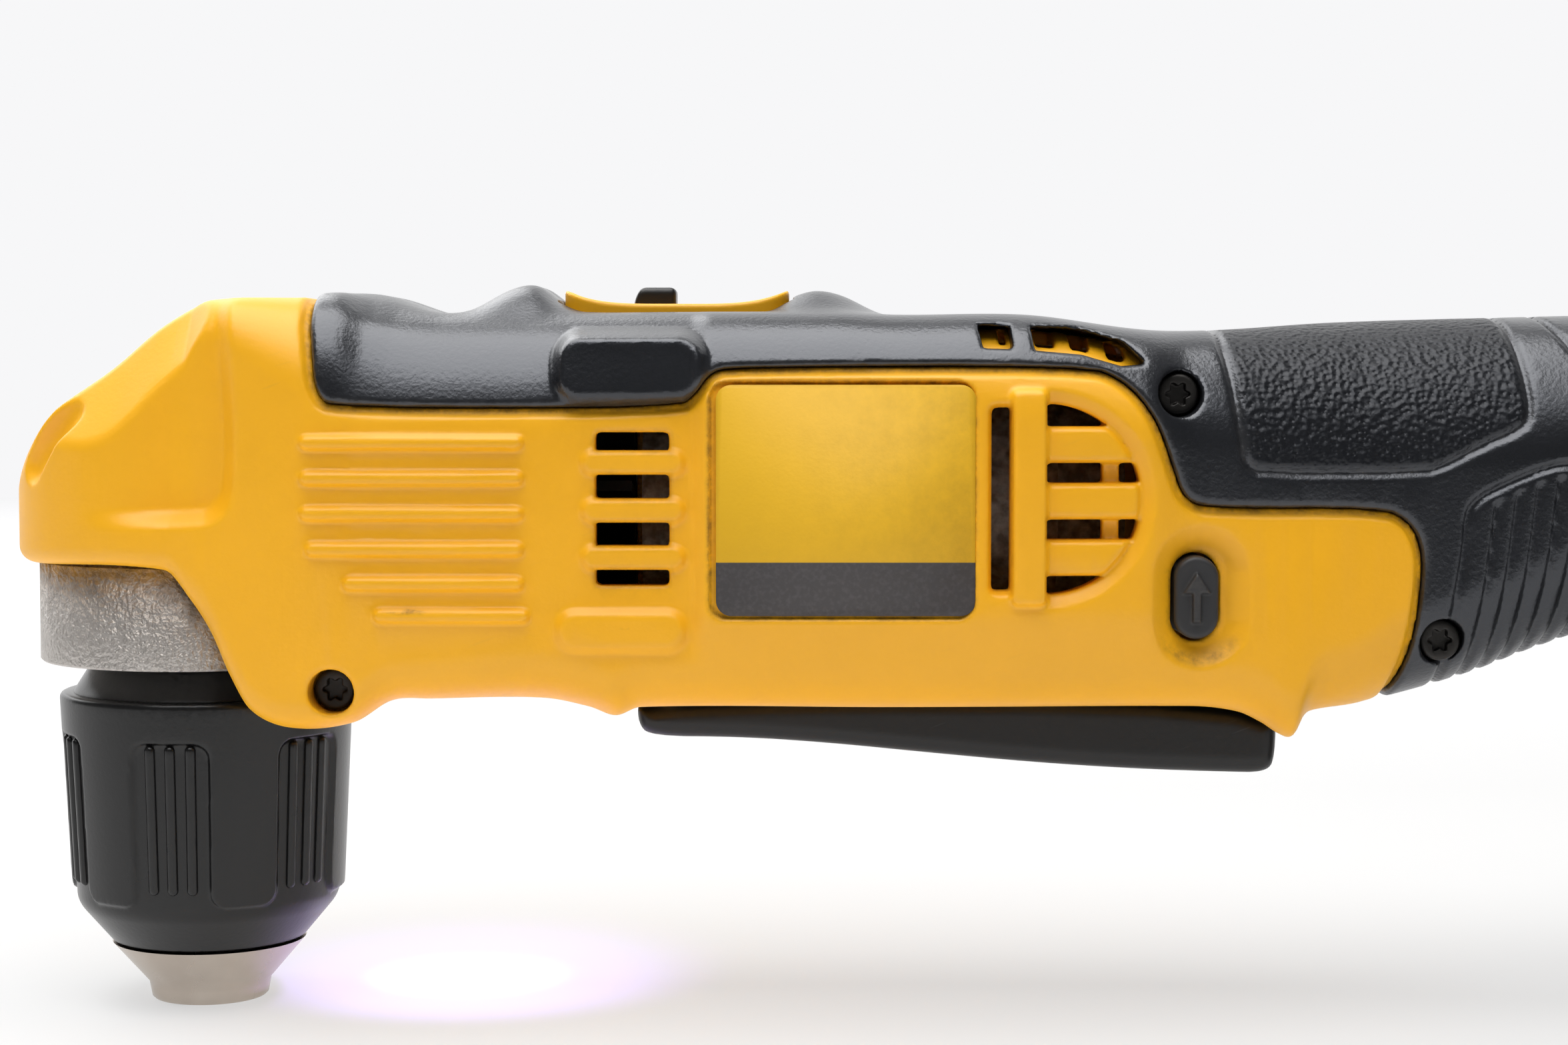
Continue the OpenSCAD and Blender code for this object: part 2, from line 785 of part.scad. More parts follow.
module gear_case() {
    collar_z = flange_z - collar_h;
    color(alloy)
        difference() {
            union() {
                translate([0, 0, collar_z])
                    rotate_extrude()
                        polygon([
                            [0, 0], [collar_r - seat, 0], [collar_r, seat], [collar_r, collar_h],
                            [head_case_r, collar_h], [head_case_r, case_slope_z - collar_z],
                            [case_top_r, case_top_z - collar_z], [0, case_top_z - collar_z]
                        ]);
                drive_rod(0, case_end_x, case_outer_r);
            }
            // Seats of the bearings, then the cavities of the bevel gears and the planets
            translate([0, 0, collar_z - cut])
                cylinder(h = collar_h + case_top_z, r = spindle_r + pass);
            translate([0, 0, collar_z + seat])
                cylinder(h = bearing_w + cut, r = lower_bearing_r);
            translate([0, 0, collar_z + bearing_w + seat])
                cylinder(
                    h = drive_z + bevel_pinion_r + 1.5 * bevel_m - collar_z - bearing_w, r = gear_cavity_r
                );
            translate([0, 0, upper_bearing_z])
                cylinder(h = bearing_w + cut, r = upper_bearing_r);
            drive_rod(0, low_carrier_x, pinion_bearing_r - 2 * case_wall);
            drive_rod(pinion_bearing_x, pinion_bearing_x + bearing_w, pinion_bearing_r);
            drive_rod(low_carrier_x - pass, case_end_x + cut, case_r);
            translate([low_gear_x + gear_w / 2 - yoke_foot_l / 2 - pass, -yoke_w / 2 - pass, drive_z])
                cube([yoke_foot_l + slider_travel + 2 * pass, yoke_w + 2 * pass, head_h]);
        }
}
upper_bearing_z = case_top_z - bearing_w - seat;

module gear_case_cover() {
    color(alloy)
        drive_tube(case_end_x + run, case_end_x + case_cover_t, case_r, shaft_r + 2 * pass);
}

// Two-dimensional gear: tooth centres at multiples of the pitch angle, inner gears have m below zero
module gear_outline(teeth, m) {
    pitch_r = teeth * abs(m) / 2;
    half_t = PI * abs(m) / 4 * tooth_share;
    slim = tip_share * abs(m) * tan(24);
    flank = [
        [pitch_r - root_share * m, half_t], [pitch_r, half_t], [pitch_r + tip_share * m, half_t - slim]
    ];
    polygon([for (k = [0 : teeth - 1]) each concat(
        [for (p = flank) let (a = 360 / teeth * k - p[1] / p[0] * 180 / PI) p[0] * [cos(a), sin(a)]],
        [for (i = [2 : -1 : 0]) let (p = flank[i], a = 360 / teeth * k + p[1] / p[0] * 180 / PI)
            p[0] * [cos(a), sin(a)]]
    )]);
}

// Spur gear on the drive axis, turned by phase
module spur_gear(x, w, teeth, m, phase = 0) {
    translate([x, 0, drive_z])
        rotate([0, 90, 0])
            rotate([0, 0, phase])
                linear_extrude(w)
                    gear_outline(teeth, m);
}

module ring_gear(x, w, teeth, m) {
    translate([x, 0, drive_z])
        rotate([0, 90, 0])
            linear_extrude(w)
                difference() {
                    circle(r = ring_r);
                    gear_outline(teeth, -m);
                }
}

// Planet gear at the given angle round the drive axis, in mesh with a sun whose tooth is at zero
module planet_gear(x, w, teeth, sun_teeth, m, orbit_r, angle) {
    phase = angle + 180 + angle * sun_teeth / teeth - 180 / teeth;
    translate([x, 0, drive_z])
        rotate([0, 90, 0])
            translate(orbit_r * [cos(angle), sin(angle), 0])
                difference() {
                    rotate([0, 0, phase])
                        linear_extrude(w)
                            gear_outline(teeth, m);
                    translate([0, 0, -cut])
                        cylinder(h = w + 2 * cut, r = planet_pin_r + run);
                }
}

// Disc with three planet pins on one face
module planet_carrier(x, r, orbit_r, pin_l) {
    drive_rod(x, x + carrier_t, r);
    for (angle = [0 : 120 : 240])
        translate([x + carrier_t / 2, 0, drive_z])
            rotate([0, 90, 0])
                translate(orbit_r * [cos(angle), sin(angle), 0])
                    cylinder(h = carrier_t / 2 + pin_l, r = planet_pin_r);
}

module low_planet(angle) {
    color(steel)
        planet_gear(
            low_gear_x + seat, gear_w - 2 * seat, low_planet_teeth, low_sun_teeth, low_m, low_orbit_r, angle
        );
}

module high_planet(angle) {
    color(steel)
        planet_gear(
            high_gear_x + seat, gear_w - 2 * seat, high_planet_teeth, high_sun_teeth, high_m, high_orbit_r,
            angle
        );
}

module fixed_ring_gear() {
    color(dark_steel)
        ring_gear(high_gear_x, gear_w, high_ring_teeth, high_m);
}

// First carrier with the second sun on its front face
module sun_carrier() {
    color(dark_steel) {
        planet_carrier(
            high_carrier_x, ring_pitch_r - low_m - pass, high_orbit_r,
            high_gear_x + gear_w - high_carrier_x - carrier_t
        );
        spur_gear(low_gear_x, high_carrier_x - low_gear_x, low_sun_teeth, low_m);
    }
}

// Bevel tooth: its pitch line runs from the pitch point to the point where both axes meet
module bevel_tooth(r, z) {
    reach = norm([r, z]);
    away = z < 0 ? [-z, r] / reach : [z, -r] / reach;
    half_t = PI * bevel_m / 4 * tooth_share;
    slim = tip_share * bevel_m * tan(24);
    rows = [[-root_share * bevel_m, half_t], [tip_share * bevel_m, half_t - slim]];
    points = [for (k = [1, 1 - bevel_face_share]) for (row = rows) for (side = [-1, 1])
        k * [r + away[0] * row[0], side * row[1], z + away[1] * row[0]]];
    faces = [
        [0, 1, 3], [0, 3, 2], [4, 6, 7], [4, 7, 5], [0, 2, 6], [0, 6, 4], [1, 5, 7], [1, 7, 3],
        [2, 3, 7], [2, 7, 6], [0, 4, 5], [0, 5, 1]
    ];
    polyhedron(points, z > 0 ? faces : [for (f = faces) [f[2], f[1], f[0]]]);
}

// Bevel gear round the local Z axis, with the meeting point at the origin
module bevel_blank(teeth, r, z, base_z, phase) {
    reach = norm([r, z]);
    away = z < 0 ? [-z, r] / reach : [z, -r] / reach;
    root = [r, z] - bevel_root_share * root_share * bevel_m * away;
    inner = (1 - bevel_face_share) * root;
    rotate([0, 0, phase + 180 / teeth])
        rotate_extrude()
            polygon([[0, inner[1]], inner, root, [root[0], base_z], [0, base_z]]);
    for (i = [0 : teeth - 1])
        rotate([0, 0, phase + 360 / teeth * i])
            bevel_tooth(r, z);
}

module bevel_gear() {
    color(dark_steel)
        translate([0, 0, drive_z])
            difference() {
                bevel_blank(bevel_gear_teeth, bevel_gear_r, -bevel_pinion_r, bevel_base_z - drive_z, 0);
                translate([0, 0, bevel_base_z - drive_z - cut])
                    cylinder(h = 2 * bevel_gear_r, r = spindle_r + run);
            }
}
bevel_base_z = flange_z - collar_h + bearing_w + 2 * seat + pass;

// Bevel pinion, shaft and second planet carrier
module pinion_shaft() {
    shaft_end_x = low_carrier_x + carrier_t;
    color(dark_steel) {
        translate([0, 0, drive_z])
            rotate([0, 90, 0])
                bevel_blank(
                    bevel_pinion_teeth, bevel_pinion_r, bevel_gear_r, gear_cavity_r, 180 / bevel_pinion_teeth
                );
        drive_rod(bevel_gear_r, shaft_end_x, pinion_shaft_r);
        planet_carrier(
            low_carrier_x, ring_pitch_r - low_m - pass, low_orbit_r,
            low_gear_x + gear_w - low_carrier_x - carrier_t
        );
    }
}
pinion_shaft_r = 4;

module pinion_bearing() {
    color(steel)
        drive_tube(
            pinion_bearing_x, pinion_bearing_x + bearing_w, pinion_bearing_r - run, pinion_shaft_r + run
        );
}

module lower_bearing() {
    color(steel)
        chuck_tube(
            flange_z - collar_h + seat, flange_z - collar_h + seat + bearing_w,
            lower_bearing_r - run, spindle_r + run
        );
}

module upper_bearing() {
    color(steel)
        chuck_tube(upper_bearing_z, upper_bearing_z + bearing_w, upper_bearing_r - run, spindle_top_r + run);
}

// Spindle, from inside the chuck to the upper bearing
spindle_foot_z = 23;
module spindle() {
    color(steel)
        translate([0, 0, spindle_foot_z])
            difference() {
                rotate_extrude()
                    polygon([
                        [0, 0], [spindle_r, 0], [spindle_r, drive_z - bevel_pinion_r - spindle_foot_z],
                        [spindle_top_r, drive_z - bevel_pinion_r - spindle_foot_z],
                        [spindle_top_r, upper_bearing_z + bearing_w - spindle_foot_z],
                        [0, upper_bearing_z + bearing_w - spindle_foot_z]
                    ]);
                translate([0, 0, -cut])
                    cylinder(h = chuck_screw_l + cut, r = chuck_screw_r + run);
            }
}

// Chuck: heights of its nose, sleeve and nut, and the radii of its steps
chuck_screw_r = 2.5;
chuck_screw_l = 12;
chuck_screw_head_r = 4.2;
chuck_screw_head_t = 2.6;
chuck_bore_l = spindle_foot_z - cut - chuck_screw_head_t - pass;
lip_z = 2.4;
lip_r = 8;
nose_r = 8.4;
sleeve_z = 8.4;
sleeve_nose_r = 13.6;
sleeve_bend_z = 16;
sleeve_low_r = 18.7;
sleeve_wall = 2.4;
sleeve_in_r = sleeve_low_r - sleeve_wall + pass;
core_r = sleeve_in_r - seat;
nut_z = 23;
nut_h = 4;
rear_cap_t = 2;
jaw_low_r = 4.9;
jaw_z = 1.6;
jaw_top_z = 27;
jaw_out_r = jaw_low_r + jaw_top_z * tan(jaw_tilt) + jaw_r / cos(jaw_tilt);
nut_bore_r = jaw_out_r + seat;

// Round rod on the line of one jaw
module jaw_rod(r, z0, z1) {
    translate([jaw_low_r, 0, 0])
        rotate([0, jaw_tilt, 0])
            translate([0, 0, z0 / cos(jaw_tilt)])
                cylinder(h = (z1 - z0) / cos(jaw_tilt), r = r);
}

module chuck_body() {
    color(steel)
        difference() {
            rotate_extrude()
                polygon([
                    [0, 0], [lip_r - seat, 0], [lip_r, seat], [nose_r, lip_z],
                    [sleeve_nose_r - seat, sleeve_z - seat], [sleeve_nose_r - sleeve_wall, sleeve_z],
                    [core_r, sleeve_bend_z], [core_r, nut_z - seat], [nut_bore_r - 2 * seat, nut_z - seat],
                    [nut_bore_r - 2 * seat, nut_z + nut_h + seat], [core_r, nut_z + nut_h + seat],
                    [core_r, chuck_h - rear_cap_t - seat], [0, chuck_h - rear_cap_t - seat]
                ]);
            // Bore of the bit's shank, and the narrower seat of the screw's head above it
            translate([0, 0, -cut])
                cylinder(h = chuck_bore_l + cut, r = chuck_bore_r);
            translate([0, 0, -cut])
                cylinder(h = spindle_foot_z, r = chuck_screw_head_r + run);
            translate([0, 0, -cut])
                cylinder(h = spindle_foot_z + 2 * cut, r = chuck_screw_r + run);
            translate([0, 0, spindle_foot_z])
                cylinder(h = chuck_h, r = spindle_r + run);
            for (angle = [0 : 120 : 240])
                rotate([0, 0, angle])
                    jaw_rod(jaw_r + run, -jaw_z - cut, jaw_top_z + 2 * seat);
        }
}

module chuck_screw() {
    color(dark_steel)
        translate([0, 0, spindle_foot_z - cut - chuck_screw_head_t]) {
            cylinder(h = chuck_screw_head_t, r = chuck_screw_head_r);
            cylinder(h = chuck_screw_l + chuck_screw_head_t, r = chuck_screw_r);
        }
}

// Jaw with a flat gripping face beside the bore
module jaw(angle) {
    color(dark_steel)
        rotate([0, 0, angle])
            difference() {
                jaw_rod(jaw_r, -jaw_z, jaw_top_z + jaw_z);
                translate([-chuck_bore_r, -chuck_bore_r, -chuck_h])
                    cube([2 * chuck_bore_r, 2 * chuck_bore_r, 2 * chuck_h]);
                translate([-chuck_h, -chuck_h, -chuck_h])
                    cube([2 * chuck_h, 2 * chuck_h, chuck_h + jaw_z]);
                translate([-chuck_h, -chuck_h, jaw_top_z])
                    cube([2 * chuck_h, 2 * chuck_h, chuck_h]);
            }
}

module chuck_nut() {
    color(dark_steel)
        chuck_tube(nut_z, nut_z + nut_h, sleeve_in_r - run, nut_bore_r);
}

// Profile of the sleeve, drawn in by inset
function sleeve_profile(inset) = [
    [sleeve_nose_r - inset, sleeve_z], [sleeve_low_r - inset, sleeve_bend_z], [sleeve_r - inset, chuck_h]
];

// One grip panel of the sleeve: arched at its top and cut to the flute depth, with upright ribs left in it
panel_half_w = 5.8;
panel_top_share = 0.86;
panel_rib_w = 1.1;
panel_pitch = 3.2;
module sleeve_panel() {
    arch_z = panel_top_share * chuck_h - panel_half_w;
    arch = [for (a = [0 : 15 : 180]) [-arch_z - panel_half_w * sin(a), panel_half_w * cos(a)]];
    difference() {
        rotate([0, 90, 0])
            linear_extrude(2 * sleeve_r)
                polygon(concat(arch, [[0, -panel_half_w], [0, panel_half_w]]));
        rotate([0, 0, 180])
            rotate_extrude()
                polygon(concat(
                    [[0, 0], [sleeve_nose_r - flute_d, 0]], sleeve_profile(flute_d), [[0, chuck_h]]
                ));
        for (side = [-1 : 1])
            translate([0, side * panel_pitch - panel_rib_w / 2, 0])
                cube([2 * sleeve_r, panel_rib_w, chuck_h]);
    }
}

module chuck_sleeve() {
    color(black)
        difference() {
            rotate_extrude()
                polygon(concat(
                    [[sleeve_nose_r - sleeve_wall + 2 * seat, sleeve_z]], sleeve_profile(0),
                    [[sleeve_in_r, chuck_h], [sleeve_in_r, sleeve_bend_z]]
                ));
            for (angle = [30 : 60 : 330])
                rotate([0, 0, angle])
                    sleeve_panel();
        }
}

module chuck_rear_cap() {
    color(black)
        difference() {
            chuck_tube(chuck_h - rear_cap_t, chuck_h, sleeve_in_r - run, spindle_r + pass);
            for (angle = [0 : 60 : 300])
                rotate([0, 0, angle])
                    translate([(sleeve_in_r + spindle_r) / 2, 0, chuck_h - rear_cap_t - cut])
                        cylinder(h = rear_cap_t + 2 * cut, r = screw_r);
        }
}

// Motor
can_wall = 1.4;
magnet_t = 2.6;
motor_bearing_r = 6;
commutator_r = 6;
commutator_l = 10;

module motor_can() {
    color(steel)
        difference() {
            drive_rod(motor_x, motor_end_x, motor_r);
            drive_rod(motor_x + can_wall, motor_end_x + cut, motor_r - can_wall);
            drive_rod(motor_x - cut, motor_x + 2 * can_wall, shaft_r + 2 * run);
            for (angle = [45 : 90 : 315])
                translate([motor_x - cut, 0, drive_z])
                    rotate([angle, 0, 0])
                        translate([0, 0, motor_r / 2])
                            rotate([0, 90, 0])
                                cylinder(h = can_wall + 2 * cut, r = motor_r / 6);
        }
}

module motor_magnets() {
    color([0.25, 0.25, 0.26])
        difference() {
            drive_tube(
                motor_x + 4 * can_wall, motor_end_x - 4 * can_wall,
                motor_r - can_wall - run, motor_r - can_wall - magnet_t
            );
            translate([motor_x, -motor_r, drive_z - motor_r / 4])
                cube([motor_l, 2 * motor_r, motor_r / 2]);
        }
}

module motor_end_cap() {
    color(black)
        difference() {
            union() {
                drive_rod(motor_end_x, motor_end_x + end_cap_l, motor_r - can_wall);
                drive_rod(motor_end_x - can_wall, motor_end_x + can_wall, motor_r - can_wall - run);
            }
            drive_rod(motor_end_x - 2 * can_wall, motor_end_x + end_cap_l / 2, motor_r - 2 * can_wall);
            drive_rod(motor_end_x - cut, motor_end_x + end_cap_l - can_wall, motor_bearing_r + run);
        }
}

module motor_bearing() {
    color(steel)
        drive_tube(
            motor_end_x + end_cap_l / 2, motor_end_x + end_cap_l - can_wall, motor_bearing_r, shaft_r + run
        );
}

module motor_brushes() {
    brush_h = 5;
    brush_y = commutator_r + seat;
    brush_l = motor_r - 3 * can_wall - brush_y;
    color(copper)
        for (side = [-1, 1])
            translate([motor_end_x - commutator_l / 2, side * (brush_y + brush_l / 2), drive_z])
                cube([brush_h, brush_l, brush_h], center = true);
}

module motor_shaft() {
    color(steel) {
        drive_rod(high_gear_x - seat, motor_end_x + end_cap_l - can_wall - seat, shaft_r);
        spur_gear(high_gear_x, gear_w + seat, high_sun_teeth, high_m);
    }
}

// Laminated core with winding slots
armature_slots = 12;
module armature() {
    x0 = motor_x + 5 * can_wall;
    x1 = motor_end_x - commutator_l - 3 * can_wall;
    color(copper)
        difference() {
            drive_tube(x0, x1, rotor_r, shaft_r);
            for (i = [0 : armature_slots - 1])
                translate([x0 - cut, 0, drive_z])
                    rotate([360 / armature_slots * i, 0, 0])
                        translate([0, -can_wall / 2, rotor_r - 2 * can_wall])
                            cube([x1 - x0 + 2 * cut, can_wall, 3 * can_wall]);
        }
}

module commutator() {
    color(copper)
        drive_tube(
            motor_end_x - commutator_l - can_wall, motor_end_x - can_wall, commutator_r, shaft_r
        );
}

fan_blades = 9;
module cooling_fan() {
    fan_hub_r = 2 * shaft_r;
    fan_r = motor_r - can_wall;
    color(black) {
        drive_tube(fan_x, fan_x + fan_w, fan_hub_r, shaft_r);
        drive_tube(fan_x, fan_x + can_wall, fan_r, shaft_r);
        for (i = [0 : fan_blades - 1])
            translate([fan_x, 0, drive_z])
                rotate([360 / fan_blades * i, 0, 0])
                    translate([0, -can_wall / 2, fan_hub_r - can_wall])
                        cube([fan_w, can_wall, fan_r - fan_hub_r]);
    }
}

// Screws that draw the housing halves together
screw_tail = 10;
module housing_screws() {
    color(dark_steel)
        for (s = screw_shares)
            translate([along(s[0]), 0, up(s[1])])
                rotate([90, 0, 0]) {
                    translate([0, 0, -screw_tail])
                        cylinder(h = screw_tail + screw_seat_y(s), r = screw_r);
                    translate([0, 0, screw_seat_y(s)])
                        cylinder(h = screw_head_t, r = screw_head_r);
                }
}

// Battery rail on the foot: a neck that widens to a flange, which the pack slides over
rail_root = 6;
rail_neck_w = 40;
rail_neck_l = 4;
rail_flange_w = 48;
rail_flange_t = 4;
rail_z = 34;
rail_l = 54;
terminal_w = 1;
terminal_l = 3;
terminal_h = 14;

module battery_rail() {
    color(black) {
        translate([body_l - rail_root, -rail_neck_w / 2, rail_z])
            cube([rail_root + rail_neck_l + seat, rail_neck_w, rail_l]);
        translate([body_l + rail_neck_l, -rail_flange_w / 2, rail_z])
            cube([rail_flange_t, rail_flange_w, rail_l]);
    }
}

module tool_terminals() {
    color(copper)
        for (i = [-1.5 : 1 : 1.5])
            translate([
                body_l + rail_neck_l + rail_flange_t, i * rail_neck_w / 5 - terminal_w / 2,
                rail_z + rail_l - terminal_h
            ])
                cube([terminal_l, terminal_w, terminal_h]);
}

// Battery pack: rail side, outer cover, cells, release button and screws
pack_x = body_l + pass;
pack_split_x = pack_x + pack_l / 2;
pack_end_x = pack_x + pack_l;
pack_round = 6;
pack_wall = 3;
release_l = 9;
release_w = 26;
release_h = 8;
release_travel = 3;
cell_pitch = 2 * cell_r + pass;
cell_count = floor((pack_h - 2 * pack_wall - 2 * pass) / cell_pitch);
cell_gap = 2;
cell_l = pack_w - 2 * pack_wall - 2 * cell_gap;

// Block of the pack between two places, with rounded upright edges
module pack_block(x0, x1, inset) {
    translate([x0, 0, inset])
        rotate([90, 0, 90])
            linear_extrude(x1 - x0)
                offset(pack_round - inset)
                    translate([-pack_w / 2 + pack_round, pack_round - inset])
                        square([pack_w - 2 * pack_round, pack_h - 2 * pack_round]);
}

// Space that the cells take, split between case and cover
module cell_space() {
    pack_block(cell_x - cell_r - seat, pack_end_x - pack_wall, pack_wall);
}
cell_x = pack_end_x - pack_wall - cell_r - pass;

// Pocket of the release button at the lower end
module release_pocket(gap) {
    translate([pack_x + pack_wall - gap, -release_w / 2 - gap, -gap])
        cube([release_l + 2 * gap, release_w + 2 * gap, release_h + release_travel + 2 * gap]);
}

module battery_case() {
    neck_gap = pass / 2;
    color(black)
        difference() {
            pack_block(pack_x, pack_split_x, 0);
            cell_space();
            translate([pack_x - cut, -rail_neck_w / 2 - neck_gap, rail_z - neck_gap])
                cube([rail_neck_l + cut, rail_neck_w + 2 * neck_gap, pack_h]);
            translate([body_l + rail_neck_l - neck_gap, -rail_flange_w / 2 - neck_gap, rail_z - neck_gap])
                cube([rail_flange_t + 2 * neck_gap, rail_flange_w + 2 * neck_gap, pack_h]);
            translate([body_l + rail_neck_l, -rail_neck_w / 2, rail_z - neck_gap])
                cube([rail_flange_t + terminal_l + pass, rail_neck_w, pack_h]);
            release_pocket(seat);
        }
}

module battery_cover() {
    color(black)
        difference() {
            pack_block(pack_split_x + run, pack_end_x, 0);
            cell_space();
            for (i = [-3 : 3])
                translate([pack_end_x - pass, i * pack_w / 9 - rib_t / 2, pack_h / 4])
                    cube([2 * pass, rib_t, pack_h / 2]);
            for (y = [-1, 1])
                for (z = [pack_round, pack_h - pack_round])
                    translate([pack_end_x - 2 * screw_head_t, y * (pack_w / 2 - pack_round), z])
                        rotate([0, 90, 0])
                            cylinder(h = pack_wall + 2 * screw_head_t, r = screw_well_r);
        }
}

module battery_cells() {
    first_z = pack_h / 2 - (cell_count - 1) * cell_pitch / 2;
    color([0.20, 0.45, 0.55])
        for (i = [0 : cell_count - 1])
            translate([cell_x, 0, first_z + i * cell_pitch])
                rotate([90, 0, 0])
                    cylinder(h = cell_l, r = cell_r, center = true);
}

module battery_release() {
    color(yellow)
        translate([pack_x + pack_wall, -release_w / 2, release_travel / 2])
            cube([release_l, release_w, release_h - release_travel / 2]);
}

module battery_screws() {
    color(dark_steel)
        for (y = [-1, 1])
            for (z = [pack_round, pack_h - pack_round])
                translate([pack_end_x - 2 * screw_head_t, y * (pack_w / 2 - pack_round), z])
                    rotate([0, 90, 0])
                        cylinder(h = screw_head_t, r = screw_head_r);
}

housing_left();
housing_right();
grip_left();
grip_right();
label_plate();
selector_plate();
gear_case();
gear_case_cover();
fixed_ring_gear();
lower_bearing();
upper_bearing();
pinion_bearing();
motor_can();
motor_magnets();
motor_end_cap();
motor_brushes();
motor_bearing();
switch_module();
led_lens();
led_board();
battery_rail();
tool_terminals();
housing_screws();
trigger_pin();
spindle();
bevel_gear();
chuck_body();
chuck_screw();
chuck_sleeve();
chuck_nut();
chuck_rear_cap();
jaw(0);  // jaw_1
jaw(120);  // jaw_2
jaw(240);  // jaw_3
pinion_shaft();
low_planet(0);  // low_planet_1
low_planet(120);  // low_planet_2
low_planet(240);  // low_planet_3
sun_carrier();
high_planet(0);  // high_planet_1
high_planet(120);  // high_planet_2
high_planet(240);  // high_planet_3
motor_shaft();
armature();
commutator();
cooling_fan();
trigger_paddle();
direction_button();
speed_slider();
shift_yoke();
shift_ring();
battery_case();
battery_cover();
battery_cells();
battery_release();
battery_screws();
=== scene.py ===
"""Looks of a cordless right angle drill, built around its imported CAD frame."""

import json
from math import cos, pi, radians, sin

import bmesh
import bpy
import numpy as np
import openvdb
from bpy.props import FloatProperty, FloatVectorProperty, PointerProperty
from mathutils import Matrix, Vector


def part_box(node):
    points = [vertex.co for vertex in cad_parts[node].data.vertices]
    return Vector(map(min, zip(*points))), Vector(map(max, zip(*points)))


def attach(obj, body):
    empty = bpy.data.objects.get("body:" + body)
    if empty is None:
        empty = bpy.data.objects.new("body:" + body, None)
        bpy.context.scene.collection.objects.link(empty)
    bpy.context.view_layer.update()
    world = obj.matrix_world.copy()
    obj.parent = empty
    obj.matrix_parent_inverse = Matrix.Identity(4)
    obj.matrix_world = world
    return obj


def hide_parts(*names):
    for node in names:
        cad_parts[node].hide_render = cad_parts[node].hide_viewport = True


bl_info = {
    "name": "Right Angle Drill",
    "version": (1, 0, 0),
    "blender": (4, 5, 0),
    "location": "View3D > Sidebar > Drill",
    "description": "Shells, grips, chuck, controls and battery pack of a right angle drill",
    "category": "Object",
}

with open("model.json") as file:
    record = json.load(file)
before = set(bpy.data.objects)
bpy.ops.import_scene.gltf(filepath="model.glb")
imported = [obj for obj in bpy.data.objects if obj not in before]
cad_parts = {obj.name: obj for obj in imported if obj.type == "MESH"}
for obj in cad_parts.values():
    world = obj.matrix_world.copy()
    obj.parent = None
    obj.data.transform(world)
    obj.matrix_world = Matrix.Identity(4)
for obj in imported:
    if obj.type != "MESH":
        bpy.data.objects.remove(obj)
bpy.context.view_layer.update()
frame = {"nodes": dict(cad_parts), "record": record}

# Lengths below are millimetres in the frame's axes: +X to the battery pack, -Y to the left side, +Z up
MM = 0.001
HEAD_H = 96.5
BODY_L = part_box("housing_left")[1][0] / MM
BODY_HALF_W = 28.0
HEAD_R = 25.0
WALL = 3.4
PANEL_RISE = 1.6
SEAM = 0.12
SEAM_EDGE_R = 0.25
FLANGE_Z = 0.632 * HEAD_H
TRIGGER_Z = 0.435 * HEAD_H

# Side view of the body: places as shares of BODY_L, heights as shares of HEAD_H
TOP_SHARES = (
    (-0.108, 0.764), (-0.079, 0.837), (-0.039, 0.905), (-0.011, 0.961), (0.013, 0.993), (0.030, 1.000),
    (0.069, 1.002), (0.093, 1.004), (0.112, 0.999), (0.146, 0.979), (0.162, 0.981), (0.188, 1.013),
    (0.203, 1.018), (0.218, 0.995), (0.232, 0.981), (0.283, 0.980), (0.338, 0.982), (0.354, 1.003),
    (0.367, 1.011), (0.381, 1.005), (0.410, 0.976), (0.486, 0.976), (0.556, 0.956), (0.601, 0.956),
    (0.672, 0.967), (0.767, 0.974), (0.850, 0.978), (0.930, 0.974), (1.000, 0.968),
)
# The finger humps fade out towards the sides: their span, the height that they rise from, and how far
# from the middle they begin and end to fade
HUMP_SPAN = (0.100, 0.400)
HUMP_FOOT = 0.980
HUMP_FLAT_Y = 7.0
HUMP_END_Y = 19.0
SIDE_TOP_SHARES = tuple(
    (place, min(height, HUMP_FOOT) if HUMP_SPAN[0] < place < HUMP_SPAN[1] else height)
    for place, height in TOP_SHARES)
BOTTOM_SHARES = (
    (-0.108, 0.632), (-0.004, 0.632), (0.012, 0.590), (0.024, 0.545), (0.034, 0.490), (0.046, 0.442),
    (0.069, 0.418), (0.103, 0.424), (0.125, 0.454), (0.147, 0.456), (0.211, 0.456), (0.237, 0.444),
    (0.252, 0.432), (0.266, 0.4435), (0.400, 0.4435), (0.580, 0.4425), (0.608, 0.4342), (0.6224, 0.4187),
    (0.6332, 0.4021), (0.6405, 0.3985), (0.6465, 0.4230), (0.652, 0.4320), (0.684, 0.4400), (0.746, 0.478),
    (0.789, 0.515), (0.840, 0.552), (0.885, 0.562), (0.925, 0.520), (0.960, 0.390), (1.000, 0.290),
)
WIDTH_SHARES = (
    (0, HEAD_R / BODY_HALF_W), (0.039, 0.955), (0.086, 0.985), (0.250, 1.000), (0.474, 1.000),
    (0.560, 0.950), (0.647, 0.860), (0.733, 0.805), (0.819, 0.775), (0.884, 0.790), (0.940, 0.920),
    (1.000, 1.110),
)
# Radii of the body's upper and lower long edges, in millimetres, at places along the body
TOP_EDGE = ((-0.110, 3.0), (0.000, 3.5), (0.040, 7.0), (0.080, 13.5), (0.125, 16.5), (0.200, 16.5),
            (0.250, 15.0), (0.300, 13.0), (0.450, 13.0), (0.560, 15.0),
            (0.680, 20.0), (0.880, 20.0), (0.940, 14.0), (1.000, 8.0))
BOTTOM_EDGE = ((-0.110, 2.2), (0.000, 2.2), (0.050, 3.0), (0.100, 5.0), (0.200, 7.0), (0.640, 7.0),
               (0.700, 13.0), (0.880, 15.0), (0.940, 10.0), (1.000, 6.0))
